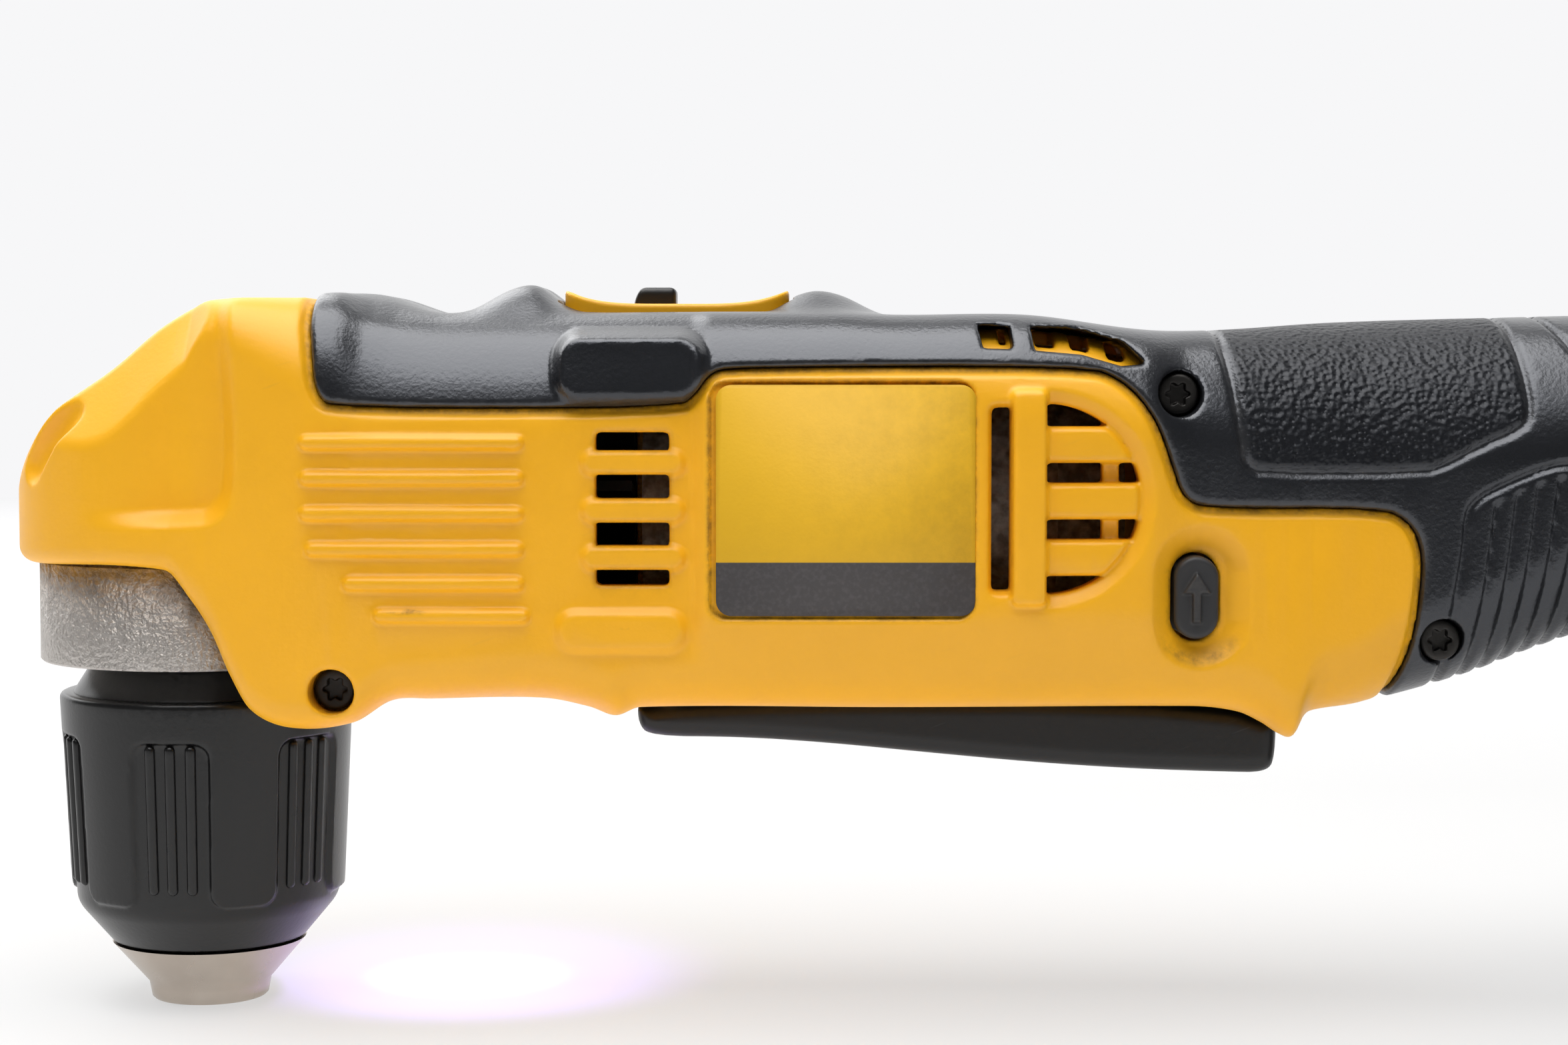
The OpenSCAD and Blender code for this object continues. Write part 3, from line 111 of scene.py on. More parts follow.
# Flat bevel along the sloped top of the head, which runs out where the body begins
HEAD_BEVEL = ((-0.110, 9.5), (0.008, 9.5), (0.046, 0.0))
BEVEL_EDGE = 0.6
FOOT_EDGE = 3.0
# Heights between which the shells lie, as shares of HEAD_H
SHELL_SPAN = (0.27, 1.05)
# Reach to each side over which the slope of the side view is taken
SLOPE_REACH = 4.0
# Side outline of the rubber grip, from its front edge round below the handle
GRIP_SHARES = (
    (0.079, 1.300), (0.079, 0.985), (0.083, 0.930), (0.086, 0.870), (0.096, 0.852), (0.289, 0.853),
    (0.299, 0.872), (0.306, 0.898), (0.318, 0.907), (0.517, 0.909), (0.539, 0.889), (0.556, 0.841),
    (0.566, 0.777), (0.573, 0.728), (0.590, 0.717), (0.686, 0.717), (0.703, 0.699), (0.711, 0.662),
    (0.711, 0.610), (0.706, 0.515), (0.697, 0.446), (0.690, 0.300), (1.050, 0.100), (1.050, 1.300),
)
# Cheek of the upper head, set back behind the body and fading out to the front
CHEEK_SHARES = (
    (-0.150, 0.700), (0.016, 0.700), (0.030, 0.712), (0.036, 0.745), (0.036, 0.880), (0.020, 1.300),
    (-0.150, 1.300),
)
CHEEK_DEPTH = 2.5
CHEEK_END_X = -6.0
LABEL = ((0.307 * BODY_L, 0.574 * HEAD_H), (0.453 * BODY_L, 0.884 * HEAD_H))
LABEL_ROUND = 2.0
LABEL_T = 0.8
LABEL_SINK = 0.15
LABEL_GAP = 0.25
LABEL_BAND_Z = 62.4
RIB_SHARES = (
    (0.077, 0.202, 0.806), (0.077, 0.202, 0.758), (0.077, 0.202, 0.711), (0.080, 0.202, 0.663),
    (0.101, 0.202, 0.617), (0.118, 0.205, 0.574),
)
RIB_HALF_T = 0.85
RIB_RISE = 1.0
SCREW_SHARES = ((0.093, 0.470), (0.571, 0.870), (0.724, 0.533), (0.905, 0.840))
SCREW_WELL_R = 3.0
SCREW_BOSS_T = 1.3
SCREW_BOSS_DEPTH = 0.8
SCREW_BOSS_END_Y = 4
SCREW_SEAT = 0.80
SCREW_HEAD_T = 1.5
SCREW_HEAD_R = 2.7
SCREW_SHANK_R = 1.4
SCREW_SHANK_MIDDLE = 4.0
SCREW_SHANK_HALF_L = 4.2
SCREW_RECESS_R = 1.35
SCREW_RECESS_FOOT = 0.35
SCREW_LOBES = 6
SCREW_LOBE_RISE = 0.28
BUTTON_X = 0.580 * BODY_L
BUTTON_Z = 0.597 * HEAD_H


def smooth_curve(table, x):
    """Cubic curve through [place, value] rows, held level past both ends."""
    places, values = np.array(table, dtype=np.float64).T
    x = np.clip(x, places[0], places[-1])
    slopes = np.empty_like(values)
    slopes[1:-1] = (values[2:] - values[:-2]) / (places[2:] - places[:-2])
    slopes[0] = (values[1] - values[0]) / (places[1] - places[0])
    slopes[-1] = (values[-1] - values[-2]) / (places[-1] - places[-2])
    i = np.clip(np.searchsorted(places, x, side="right") - 1, 0, len(places) - 2)
    d = places[i + 1] - places[i]
    t = (x - places[i]) / d
    return (values[i] * (2 * t ** 3 - 3 * t ** 2 + 1) + slopes[i] * d * (t ** 3 - 2 * t ** 2 + t)
            + values[i + 1] * (3 * t ** 2 - 2 * t ** 3) + slopes[i + 1] * d * (t ** 3 - t ** 2))


def smooth_step(d, width):
    """1 well inside a border, 0 well outside it, with a soft change over the given width."""
    t = np.clip(0.5 - d / width, 0, 1)
    return t * t * (3 - 2 * t)


def round_max(a, b, r):
    """Intersection of two fields whose outer edge is rounded to radius r."""
    u = np.maximum(a + r, 0)
    v = np.maximum(b + r, 0)
    return np.minimum(np.maximum(a, b), -r) + np.sqrt(u * u + v * v)


def soft_min(a, b, r):
    """Union of two fields with a fillet of about radius r between them."""
    h = np.maximum(r - np.abs(a - b), 0) / r
    return np.minimum(a, b) - h * h * r / 4


def flat_box(x, z, low, high, r):
    """Field of a rectangle in the side view with corners of radius r."""
    dx = np.abs(x - (low[0] + high[0]) / 2) - (high[0] - low[0]) / 2 + r
    dz = np.abs(z - (low[1] + high[1]) / 2) - (high[1] - low[1]) / 2 + r
    return np.hypot(np.maximum(dx, 0), np.maximum(dz, 0)) + np.minimum(np.maximum(dx, dz), 0) - r


def flat_bar(x, z, start, end, r):
    """Field of a round-ended bar in the side view."""
    ax, az = end[0] - start[0], end[1] - start[1]
    t = np.clip(((x - start[0]) * ax + (z - start[1]) * az) / (ax * ax + az * az), 0, 1)
    return np.hypot(x - start[0] - t * ax, z - start[1] - t * az) - r


def round_corners(points, passes=3):
    """Closed outline with its corners cut again and again until they are round."""
    p = np.array(points, dtype=np.float64)
    for _ in range(passes):
        q = np.roll(p, -1, axis=0)
        p = np.stack((0.75 * p + 0.25 * q, 0.25 * p + 0.75 * q), axis=1).reshape(-1, 2)
    return p


def flat_outline(x, z, points):
    """Field of a closed outline in the side view."""
    nearest = np.full(np.broadcast(x, z).shape, 1e9)
    inside = np.zeros(nearest.shape, dtype=bool)
    for a, b in zip(points, np.roll(points, -1, axis=0)):
        ex, ez = b - a
        t = np.clip(((x - a[0]) * ex + (z - a[1]) * ez) / max(ex * ex + ez * ez, 1e-9), 0, 1)
        nearest = np.minimum(nearest, np.hypot(x - a[0] - t * ex, z - a[1] - t * ez))
        if ez != 0:
            inside ^= ((a[1] > z) != (b[1] > z)) & (x < ex * (z - a[1]) / ez + a[0])
    return np.where(inside, -nearest, nearest)


def shares_outline(shares, passes=2):
    """Outline in millimetres from shares of the body's length and height, with soft corners."""
    return round_corners([(s[0] * BODY_L, s[1] * HEAD_H) for s in shares], passes)


class Grid:
    """Regular grid of points in millimetres, as three arrays that broadcast together."""

    def __init__(self, low, high, step):
        self.low = np.array(low, dtype=np.float64)
        self.step = step
        count = np.ceil((np.array(high) - self.low) / step).astype(int) + 1
        axes = [(self.low[i] + step * np.arange(count[i])).astype(np.float32) for i in range(3)]
        self.x, self.y, self.z = np.ix_(*axes)
        self.shape = tuple(count)


def mesh_from_field(name, grid, field, mirror=False):
    """Closed mesh in metres on the zero surface of a field that is negative inside."""
    volume = openvdb.FloatGrid(3 * grid.step)
    block = np.clip(np.broadcast_to(field, grid.shape), -3 * grid.step, 3 * grid.step)
    block = np.ascontiguousarray(block, dtype=np.float32)
    for axis in range(3):
        edge = [slice(None)] * 3
        for edge[axis] in (0, -1):
            block[tuple(edge)] = np.maximum(block[tuple(edge)], grid.step)
    volume.copyFromArray(block)
    points, _, quads = volume.convertToPolygons(0.0, 0.0)
    points = (points * grid.step + grid.low) * MM
    if mirror:
        points[:, 1] *= -1
        quads = quads[:, ::-1]
    mesh = bpy.data.meshes.new(name)
    mesh.from_pydata(points.tolist(), [], quads.tolist())
    mesh.validate()
    return mesh


def slope_scale(values, step):
    """Factor that turns a height above a curve into a distance from it, by the curve's slope."""
    reach = max(1, round(SLOPE_REACH / step))
    places = np.arange(len(values))
    ahead = np.minimum(places + reach, len(values) - 1)
    behind = np.maximum(places - reach, 0)
    run = ((ahead - behind) * step).reshape(-1, *[1] * (values.ndim - 1))
    return 1 / np.sqrt(1 + ((values[ahead] - values[behind]) / run) ** 2)


def body_fields(grid):
    """Plan, top and bottom distances of the body, with the radii of its long edges."""
    x, y, z = grid.x, grid.y, grid.z
    share = x / BODY_L
    top = HEAD_H * smooth_curve(TOP_SHARES, share)
    bottom = HEAD_H * smooth_curve(BOTTOM_SHARES, share)
    width = BODY_HALF_W * smooth_curve(WIDTH_SHARES, share)
    side_top = HEAD_H * smooth_curve(SIDE_TOP_SHARES, share)
    hump = smooth_step(np.abs(y) - (HUMP_FLAT_Y + HUMP_END_Y) / 2, HUMP_END_Y - HUMP_FLAT_Y)
    top = side_top + (top - side_top) * hump
    over_top = (z - top) * slope_scale(top, grid.step)
    below = (bottom - z) * slope_scale(bottom, grid.step)
    plan = np.where(x < 0, np.hypot(x, y) - HEAD_R, np.abs(y) - width)
    radii = [np.interp(share, *np.array(edge).T).astype(np.float32) for edge in (TOP_EDGE, BOTTOM_EDGE)]
    return [d.astype(np.float32) for d in (plan, over_top, below)] + radii


def body_solid(grid, fields, rise):
    """Field of the whole body with its sides raised by rise, a map over the side view."""
    plan, over_top, below, top_r, bottom_r = fields
    solid = round_max(plan - rise, over_top, top_r)
    share = grid.x / BODY_L
    flat_side = np.abs(grid.y) - BODY_HALF_W * smooth_curve(WIDTH_SHARES, share)
    bevel = (flat_side + over_top + np.interp(share, *np.array(HEAD_BEVEL).T)) * np.sqrt(0.5)
    solid = round_max(solid, bevel.astype(np.float32), BEVEL_EDGE)
    solid = round_max(solid, below, bottom_r)
    return round_max(solid, grid.x - BODY_L, FOOT_EDGE)


# Raised panel round the label and the grille
PANEL_X = 69.3
PANEL_END_X = 130.0
PANEL_FOOT_Z = 52.0
VENT = ((55.9, 59.3), (65.4, 79.1))
VENT_BAR_X = (VENT[0][0] - 0.2, VENT[1][0] + 0.4)
VENT_BARS_Z = (75.2, 69.0, 62.9)
VENT_BAR_HALF_T = 1.55
VENT_BAR_RISE = 0.9
GRILLE_BAR_X = (109.4, 114.0)
GRILLE_Z = (56.9, 84.6)
GRILLE_SLOT_X = 106.9
GRILLE_HOLE_Z = (58.6, 82.3)
GRILLE_HOLE_R = 12.3
GRILLE_BARS_Z = (77.5, 70.2, 62.9)
GRILLE_BAR_HALF_T = 2.35
GRILLE_POST_X = 122.45
GRILLE_POST_HALF_T = 1.1
GRILLE_POST_DEPTH = 0.6
LOWER_PAD = ((50.9, 50.9), (67.4, 56.0))
LOWER_PAD_RISE = 1.1
RUBBER_PAD = ((50.8, 83.2), (69.8, 91.8))
RUBBER_PAD_RISE = 1.3
PAD_CURVE_R = 14.5
PAD_CURVE_Z = 80.2
DISH_X = BUTTON_X + 0.6
DISH_HALF_L = 6.6
DISH_HALF_H = 9.4
DISH_SLOPE = 2.9
DISH_DEPTH = 1.9
GRILLE_BEVEL = 1.9
GRILLE_SINK = 1.1
GRILLE_UPRIGHT_RISE = 1.2
BUTTON_HALF_L = 2.9
BUTTON_HALF_H = 5.4
BUTTON_GAP = 0.35
SCALLOP_ENDS = ((-21.3, -15.6, 74.5), (-15.3, -18.7, 82.2))
SCALLOP_R = 3.0
WINDOW_OUTLINES = (
    ((105.8, 92.6), (109.3, 92.5), (109.5, 90.1), (106.2, 90.2)),
    ((112.7, 92.4), (118.8, 92.1), (124.3, 90.5), (126.7, 88.1), (124.0, 87.9), (118.8, 89.4), (112.9, 89.9)),
)
WINDOW_ROUND = 0.3
WINDOW_EDGE_R = 0.5
WINDOW_INNER_Y = 9.0
# Ledge behind the windows and bed under the rubber
LEDGE_DEPTH = 1.6
LEDGE_W = 1.0
LEDGE_RIM = 0.5
BED_GAP = 0.08
BED_RIM = 0.8
BED_W = 1.5
# Slots between the ribs of the ledge behind the windows
WINDOW_SLOT_X = 107.3
WINDOW_SLOT_PITCH = 4.7
WINDOW_SLOT_HALF_W = 1.3
# Wall behind the windows, painted dark as shade where it shows through them
BAFFLE = ((101.0, 88.6), (131.0, 100.0))
BAFFLE_HALF_T = 1.4
# Dark chip on the lowest rib of the left side
CHIP_ENDS = ((30.6, 55.5), (32.1, 56.2))
# Thin plate between the fan and the motor, with a hole for the shaft, painted dark as shade where it shows
# through the vent
FAN_PLATE = ((60.2, 44.0), (61.2, 85.0))
FAN_PLATE_HALF_W = 7.0
SHAFT_HOLE_R = 5.2
INNER_WALL_GAP = 0.4
RUBBER_T = 2.2
RUBBER_RISE = 0.25
RUBBER_EDGE_R = 0.9
LIP_W = 1.1
LIP_DEPTH = 0.85
LIP_SOFT = 0.8
# Rounding of the edges of openings
EDGE_R = 0.4


def label_field(x, z):
    return flat_box(x, z, *LABEL, LABEL_ROUND)


def grip_field(x, z):
    return flat_outline(x, z, shares_outline(GRIP_SHARES))


def vent_field(x, z):
    """Openings of the front vent between its raised bars."""
    hole = flat_box(x, z, *VENT, 0.6)
    return np.maximum(hole, -vent_bars(x, z))


def vent_bars(x, z):
    bars = [flat_bar(x, z, (VENT_BAR_X[0], h), (VENT_BAR_X[1], h), VENT_BAR_HALF_T) for h in VENT_BARS_Z]
    return np.minimum.reduce(bars)


def grille_upright(x, z):
    return flat_box(x, z, (GRILLE_BAR_X[0], GRILLE_Z[0]), (GRILLE_BAR_X[1], GRILLE_Z[1]), 0.9)


def grille_bars(x, z):
    bars = [np.maximum(np.abs(z - h) - GRILLE_BAR_HALF_T, GRILLE_BAR_X[0] - x) for h in GRILLE_BARS_Z]
    return np.minimum.reduce(bars)


def grille_window(x, z):
    """The slot beside the upright bar and the half-round window behind it, without the bars."""
    slot = flat_box(x, z, (GRILLE_SLOT_X, GRILLE_HOLE_Z[0]), (GRILLE_BAR_X[1], GRILLE_HOLE_Z[1]), 0.7)
    middle = sum(GRILLE_HOLE_Z) / 2
    half_round = np.maximum(np.hypot(x - GRILLE_BAR_X[1], z - middle) - GRILLE_HOLE_R, GRILLE_BAR_X[0] - x)
    return np.minimum(slot, half_round)


def grille_field(x, z):
    bars = np.minimum(grille_upright(x, z), grille_bars(x, z))
    return np.maximum(grille_window(x, z), -bars)


def upright_bar(x, z, middle_x, half_l, half_h, gap=0.0):
    """Field of an upright round-ended bar at the button's height, with a gap round it."""
    reach = half_h - half_l
    return flat_bar(x, z, (middle_x, BUTTON_Z - reach), (middle_x, BUTTON_Z + reach), half_l + gap)


def button_field(x, z, gap=0.0):
    return upright_bar(x, z, BUTTON_X, BUTTON_HALF_L, BUTTON_HALF_H, gap)


def dish_field(x, z):
    return upright_bar(x, z, DISH_X, DISH_HALF_L, DISH_HALF_H)


def screw_field(x, z, r):
    places = [(s[0] * BODY_L, s[1] * HEAD_H) for s in SCREW_SHARES]
    return np.minimum.reduce([np.hypot(x - p[0], z - p[1]) for p in places]) - r


def window_field(x, z):
    outlines = [flat_outline(x, z, np.array(points)) for points in WINDOW_OUTLINES]
    return np.minimum.reduce(outlines) - WINDOW_ROUND


def plan_rise(x, z):
    """How far the sides stand out from the plain body: the raised panel, less the cheek of the head."""
    panel = smooth_step(PANEL_X - x, 3.0) * smooth_step(x - PANEL_END_X, 7.0)
    panel = panel * smooth_step(PANEL_FOOT_Z - z, 9.0)
    cheek = smooth_step(flat_outline(x, z, shares_outline(CHEEK_SHARES)), 3.0)
    cheek = cheek * smooth_step(CHEEK_END_X - x, 14.0)
    return PANEL_RISE * panel - CHEEK_DEPTH * cheek


def rib_rise(x, z):
    ribs = []
    for front, rear, share in RIB_SHARES:
        height = share * HEAD_H
        ends = (front * BODY_L + RIB_HALF_T, height), (rear * BODY_L - RIB_HALF_T, height)
        ribs.append(flat_bar(x, z, *ends, RIB_HALF_T))
    return RIB_RISE * smooth_step(np.minimum.reduce(ribs), 0.9)


def side_rise(x, z, labelled):
    """Small relief of the yellow sides: ribs, bars, pad, dish and the recess of the label."""
    window = grille_window(x, z)
    reach = np.where(x > GRILLE_BAR_X[0], GRILLE_BEVEL, 0.35 * GRILLE_BEVEL)
    sink = GRILLE_SINK * np.clip(1 - np.maximum(window, 0) / reach, 0, 1)
    bars = smooth_step(grille_bars(x, z) + 0.2, 0.9) * smooth_step(window + 0.3, 0.9)
    upright = smooth_step(grille_upright(x, z), 0.9)
    rise = rib_rise(x, z) + VENT_BAR_RISE * smooth_step(vent_bars(x, z), 1.2)
    rise = rise - sink * (1 - np.maximum(0.85 * bars, upright)) + GRILLE_UPRIGHT_RISE * upright
    rise = rise + LOWER_PAD_RISE * smooth_step(flat_box(x, z, *LOWER_PAD, 2.4), 1.6)
    rise = rise - DISH_DEPTH * np.clip(-dish_field(x, z) / DISH_SLOPE, 0, 1)
    if labelled:
        rise = rise - (LABEL_T + LABEL_SINK) * smooth_step(label_field(x, z) - LABEL_GAP, 0.5)
    return rise


# Rubber details of the handle, in millimetres over the side view
HANDLE_PANEL = ((137.0, 110.0), (137.9, 91.2), (138.6, 85.8), (139.6, 77.6), (140.0, 75.0), (142.0, 73.7),
                (163.9, 73.7), (167.0, 74.8), (171.5, 77.2), (176.9, 79.4), (178.2, 81.5), (177.9, 86.5),
                (177.5, 91.6), (176.5, 110.0))
REAR_PANEL = ((169.6, 68.4), (171.2, 70.4), (175.1, 72.3), (179.0, 73.9), (182.2, 74.8), (206.0, 76.0),
              (206.0, 30.0), (166.5, 30.0), (167.5, 46.0), (168.0, 55.3), (169.4, 63.5))
REAR_RIB_X = 173.2
REAR_RIB_PITCH = 2.66
REAR_RIBS = 12
REAR_RIB_LEAN = 0.12
REAR_RIB_Z = 66.0
REAR_RIB_HALF_W = 0.35
REAR_RIB_DEPTH = 0.55
FRONT_BOSS = (26.5, 93.5)
FRONT_BOSS_R = 6.0
FRONT_BOSS_RISE = 0.9
END_LINE = (183.0, 94.0)
END_LINE_FOOT_Z = 82.0
GROOVE_DEPTH = 0.6
GROOVE_HALF_W = 0.45
GROOVE_SOFT = 0.9


def handle_panel_field(x, z):
    return flat_outline(x, z, round_corners(HANDLE_PANEL, 1))


def rear_panel_field(x, z):
    return flat_outline(x, z, round_corners(REAR_PANEL, 1))


def rubber_rise(x, z):
    """Relief of the rubber: the shoulder pad, the front boss and the grooved panels of the handle."""
    pad = flat_box(x, z, *RUBBER_PAD, 3.2)
    boss = np.exp(-((x - FRONT_BOSS[0]) / FRONT_BOSS_R) ** 2 - ((z - FRONT_BOSS[1]) / FRONT_BOSS_R) ** 2)
    lean = PAD_CURVE_R - np.sqrt(PAD_CURVE_R ** 2 - np.clip(z - PAD_CURVE_Z, 0, 0.95 * PAD_CURVE_R) ** 2)
    rise = RUBBER_RISE + (RUBBER_PAD_RISE + 0.5 * lean) * smooth_step(pad, 2.2) + FRONT_BOSS_RISE * boss
    rear = rear_panel_field(x, z)
    handle_line = np.abs(handle_panel_field(x, z)) - GROOVE_HALF_W
    end_line = np.abs(x - END_LINE[0] - 0.5 * (END_LINE[1] - z)) - GROOVE_HALF_W
    end_line = np.maximum(end_line, END_LINE_FOOT_Z - z)
    for line in (handle_line, end_line, np.abs(rear) - GROOVE_HALF_W):
        rise = rise - GROOVE_DEPTH * smooth_step(line, GROOVE_SOFT)
    for i in range(REAR_RIBS):
        rib_x = x - REAR_RIB_X - REAR_RIB_PITCH * i - REAR_RIB_LEAN * (z - REAR_RIB_Z)
        line = np.maximum(np.abs(rib_x) - REAR_RIB_HALF_W, rear + 1.6)
        rise = rise - REAR_RIB_DEPTH * smooth_step(line, GROOVE_SOFT)
    return rise


def box_field(grid, low, high):
    """Field of an upright box."""
    middle = (np.array(low) + np.array(high)) / 2
    half = (np.array(high) - np.array(low)) / 2
    d = [np.abs(a - m) - h for a, m, h in zip((grid.x, grid.y, grid.z), middle, half)]
    return np.maximum(np.maximum(d[0], d[1]), d[2])


def capsule_field(grid, start, end, r):
    """Field of a round-ended rod."""
    axis = np.array(end) - np.array(start)
    d = [g - s for g, s in zip((grid.x, grid.y, grid.z), start)]
    t = np.clip(sum(a * v for a, v in zip(axis, d)) / (axis @ axis), 0, 1)
    return np.sqrt(sum((v - t * a) ** 2 for a, v in zip(axis, d))).astype(np.float32) - r


def node_box(name):
    """Low and high corners of a CAD node in millimetres."""
    low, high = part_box(name)
    return np.array(low) / MM, np.array(high) / MM


def node_middle(name):
    """Middle of a CAD node's box in millimetres."""
    low, high = node_box(name)
    return (low + high) / 2


def node_grid(name, step):
    """Low and high corners of a CAD node, and a grid round it."""
    low, high = node_box(name)
    return low, high, Grid(low - 1, high + 1, step)


def split_openings(grid):
    """Openings at the split: trigger, selector, battery rail, lamp and collar."""
    gap = 0.5
    low, high = node_box("trigger_paddle")
    trigger = box_field(grid, (low[0] - gap, low[1] - gap, 0),
                        (high[0] + 2 * gap, high[1] + gap, TRIGGER_Z + 2 * WALL))
    low, high = node_box("selector_plate")
    selector = box_field(grid, low - gap, (high[0] + gap, high[1] + gap, HEAD_H * 1.2))
    low, high = node_box("battery_rail")
    rail = box_field(grid, low - gap, high + gap)
    low, high = node_box("led_lens")
    lamp_x, lamp_r = (low[0] + high[0]) / 2, (high[0] - low[0]) / 2
    lamp = np.maximum(np.hypot(grid.x - lamp_x, grid.y) - lamp_r - gap, grid.z - high[2])
    collar_r = node_box("gear_case")[1][1]
    collar = np.maximum(np.hypot(grid.x, grid.y) - collar_r - 0.3, grid.z - FLANGE_Z)
    return [trigger, selector, rail, lamp, collar]


def inner_parts(grid, plain, hollow, grip, windows):
    """Fields of what is inside a half shell: window ledge, bed of the rubber, baffle and fan plate."""
    x, y, z = grid.x, grid.y, grid.z
    ledge = np.maximum(np.maximum(plain + LEDGE_DEPTH, hollow), windows - LEDGE_W)
    slots = np.abs((x - WINDOW_SLOT_X) % WINDOW_SLOT_PITCH - WINDOW_SLOT_PITCH / 2) - WINDOW_SLOT_HALF_W
    slots = np.maximum(slots, windows + LEDGE_RIM).astype(np.float32)
    bed = np.maximum(np.maximum(plain + RUBBER_T + BED_GAP, hollow), BED_RIM - windows)
    baffle = np.maximum(flat_box(x, z, *BAFFLE, 0.5), -BAFFLE_HALF_T - y).astype(np.float32)
    plate = np.maximum(flat_box(x, z, *FAN_PLATE, 0.1), -FAN_PLATE_HALF_W - y)
    shaft_z = node_middle("motor_shaft")[2]
    plate = np.maximum(plate, SHAFT_HOLE_R - np.hypot(y, z - shaft_z)).astype(np.float32)
    walls = np.maximum(np.minimum(baffle, plate), plain + RUBBER_T + INNER_WALL_GAP)
    return np.maximum(ledge, -slots), np.maximum(bed, grip - BED_W), walls


def half_shells(grid, left):
    """Fields of the yellow half shell and of its rubber grip."""
    x, y, z = grid.x, grid.y, grid.z
    fields = body_fields(grid)
    plain = body_solid(grid, fields, np.float32(0))
    solid = body_solid(grid, fields, plan_rise(x, z).astype(np.float32))
    hollow = -(plain + WALL)
    grip = grip_field(x, z).astype(np.float32)
    windows = np.maximum(window_field(x, z), y + WINDOW_INNER_Y).astype(np.float32)

    yellow = solid - side_rise(x, z, left).astype(np.float32)
    yellow = yellow + LIP_DEPTH * smooth_step(grip - LIP_W, LIP_SOFT)
    yellow = np.maximum(yellow, hollow)
    hole = np.minimum(vent_field(x, z), grille_field(x, z)).astype(np.float32)
    yellow = round_max(yellow, -hole, EDGE_R)
    yellow = round_max(yellow, -capsule_field(grid, *SCALLOP_ENDS, SCALLOP_R), EDGE_R)
    post = np.maximum(np.abs(x - GRILLE_POST_X) - GRILLE_POST_HALF_T, grille_window(x, z)).astype(np.float32)
    yellow = np.minimum(yellow, np.maximum(np.maximum(post, plain + GRILLE_POST_DEPTH), hollow))
    yellow = np.maximum(yellow, SEAM - grip)
    for part in inner_parts(grid, plain, hollow, grip, windows):
        yellow = np.minimum(yellow, part)

    rubber = solid - rubber_rise(x, z).astype(np.float32)
    rubber = round_max(rubber, grip, RUBBER_EDGE_R)
    rubber = round_max(rubber, -windows, WINDOW_EDGE_R)
    rubber = np.maximum(rubber, -(plain + RUBBER_T))

    openings = split_openings(grid)
    openings.append(button_field(x, z, BUTTON_GAP).astype(np.float32))
    wells = screw_field(x, z, SCREW_WELL_R).astype(np.float32)
    screw_depth = y + SCREW_SEAT * BODY_HALF_W * smooth_curve(WIDTH_SHARES, x / BODY_L).astype(np.float32)
    shells = []
    for shell, skin in ((yellow, SEAM - grip), (rubber, grip)):
        if left:
            boss = np.maximum(np.maximum(wells - SCREW_BOSS_T, plain + SCREW_BOSS_DEPTH), skin)
            shell = np.minimum(shell, np.maximum(boss, y + SCREW_BOSS_END_Y))
            shell = round_max(shell, -np.maximum(wells, screw_depth), EDGE_R)
        for opening in openings:
            shell = np.maximum(shell, -opening)
        shells.append(round_max(shell, y + SEAM / 2, SEAM_EDGE_R))
    return shells


MOST_TRIANGLES = 150000


def plain_mesh(carrier):
    """What a carrier object and its modifier make, as a mesh without them."""
    evaluated = carrier.evaluated_get(bpy.context.evaluated_depsgraph_get())
    mesh = bpy.data.meshes.new_from_object(evaluated)
    bpy.data.objects.remove(carrier)
    return mesh


def trim_mesh(mesh, limit):
    """Mesh with few enough triangles, thinned where it is flattest."""
    count = 2 * len(mesh.polygons)
    if count <= limit:
        return mesh
    carrier = bpy.data.objects.new("carrier", mesh)
    bpy.context.collection.objects.link(carrier)
    carrier.modifiers.new("Thin", "DECIMATE").ratio = limit / count
    return plain_mesh(carrier)


def finish_piece(name, mesh, body, slot, nodes=(), finish=None):
    """Object at the origin that rides on a body and stands for the named CAD nodes."""
    mesh.materials.clear()
    mesh.materials.append(MATERIALS[finish or slot])
    mesh.shade_smooth()
    piece = bpy.data.objects.new(name, mesh)
    bpy.context.collection.objects.link(piece)
    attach(piece, body)
    if nodes:
        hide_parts(*nodes)
    return piece


def field_piece(name, grid, field, body, slot, nodes=(), finish=None, limit=MOST_TRIANGLES, mirror=False):
    """Piece that is meshed from a field, with at most the given number of triangles. Returns its mesh."""
    mesh = trim_mesh(mesh_from_field(name, grid, field, mirror), limit)
    finish_piece(name, mesh, body, slot, nodes, finish)
    return mesh


def paint(mesh, name, values):
    """Number on each vertex that a material reads by name."""
    layer = mesh.attributes.new(name, "FLOAT", "POINT")
    layer.data.foreach_set("value", np.clip(values, 0, 1).astype(np.float32))


def mesh_places(mesh):
    """Places of a mesh's vertices in millimetres: along the body, across it and up."""
    points = np.empty(3 * len(mesh.vertices))
    mesh.vertices.foreach_get("co", points)
    return (points.reshape(-1, 3) / MM).T


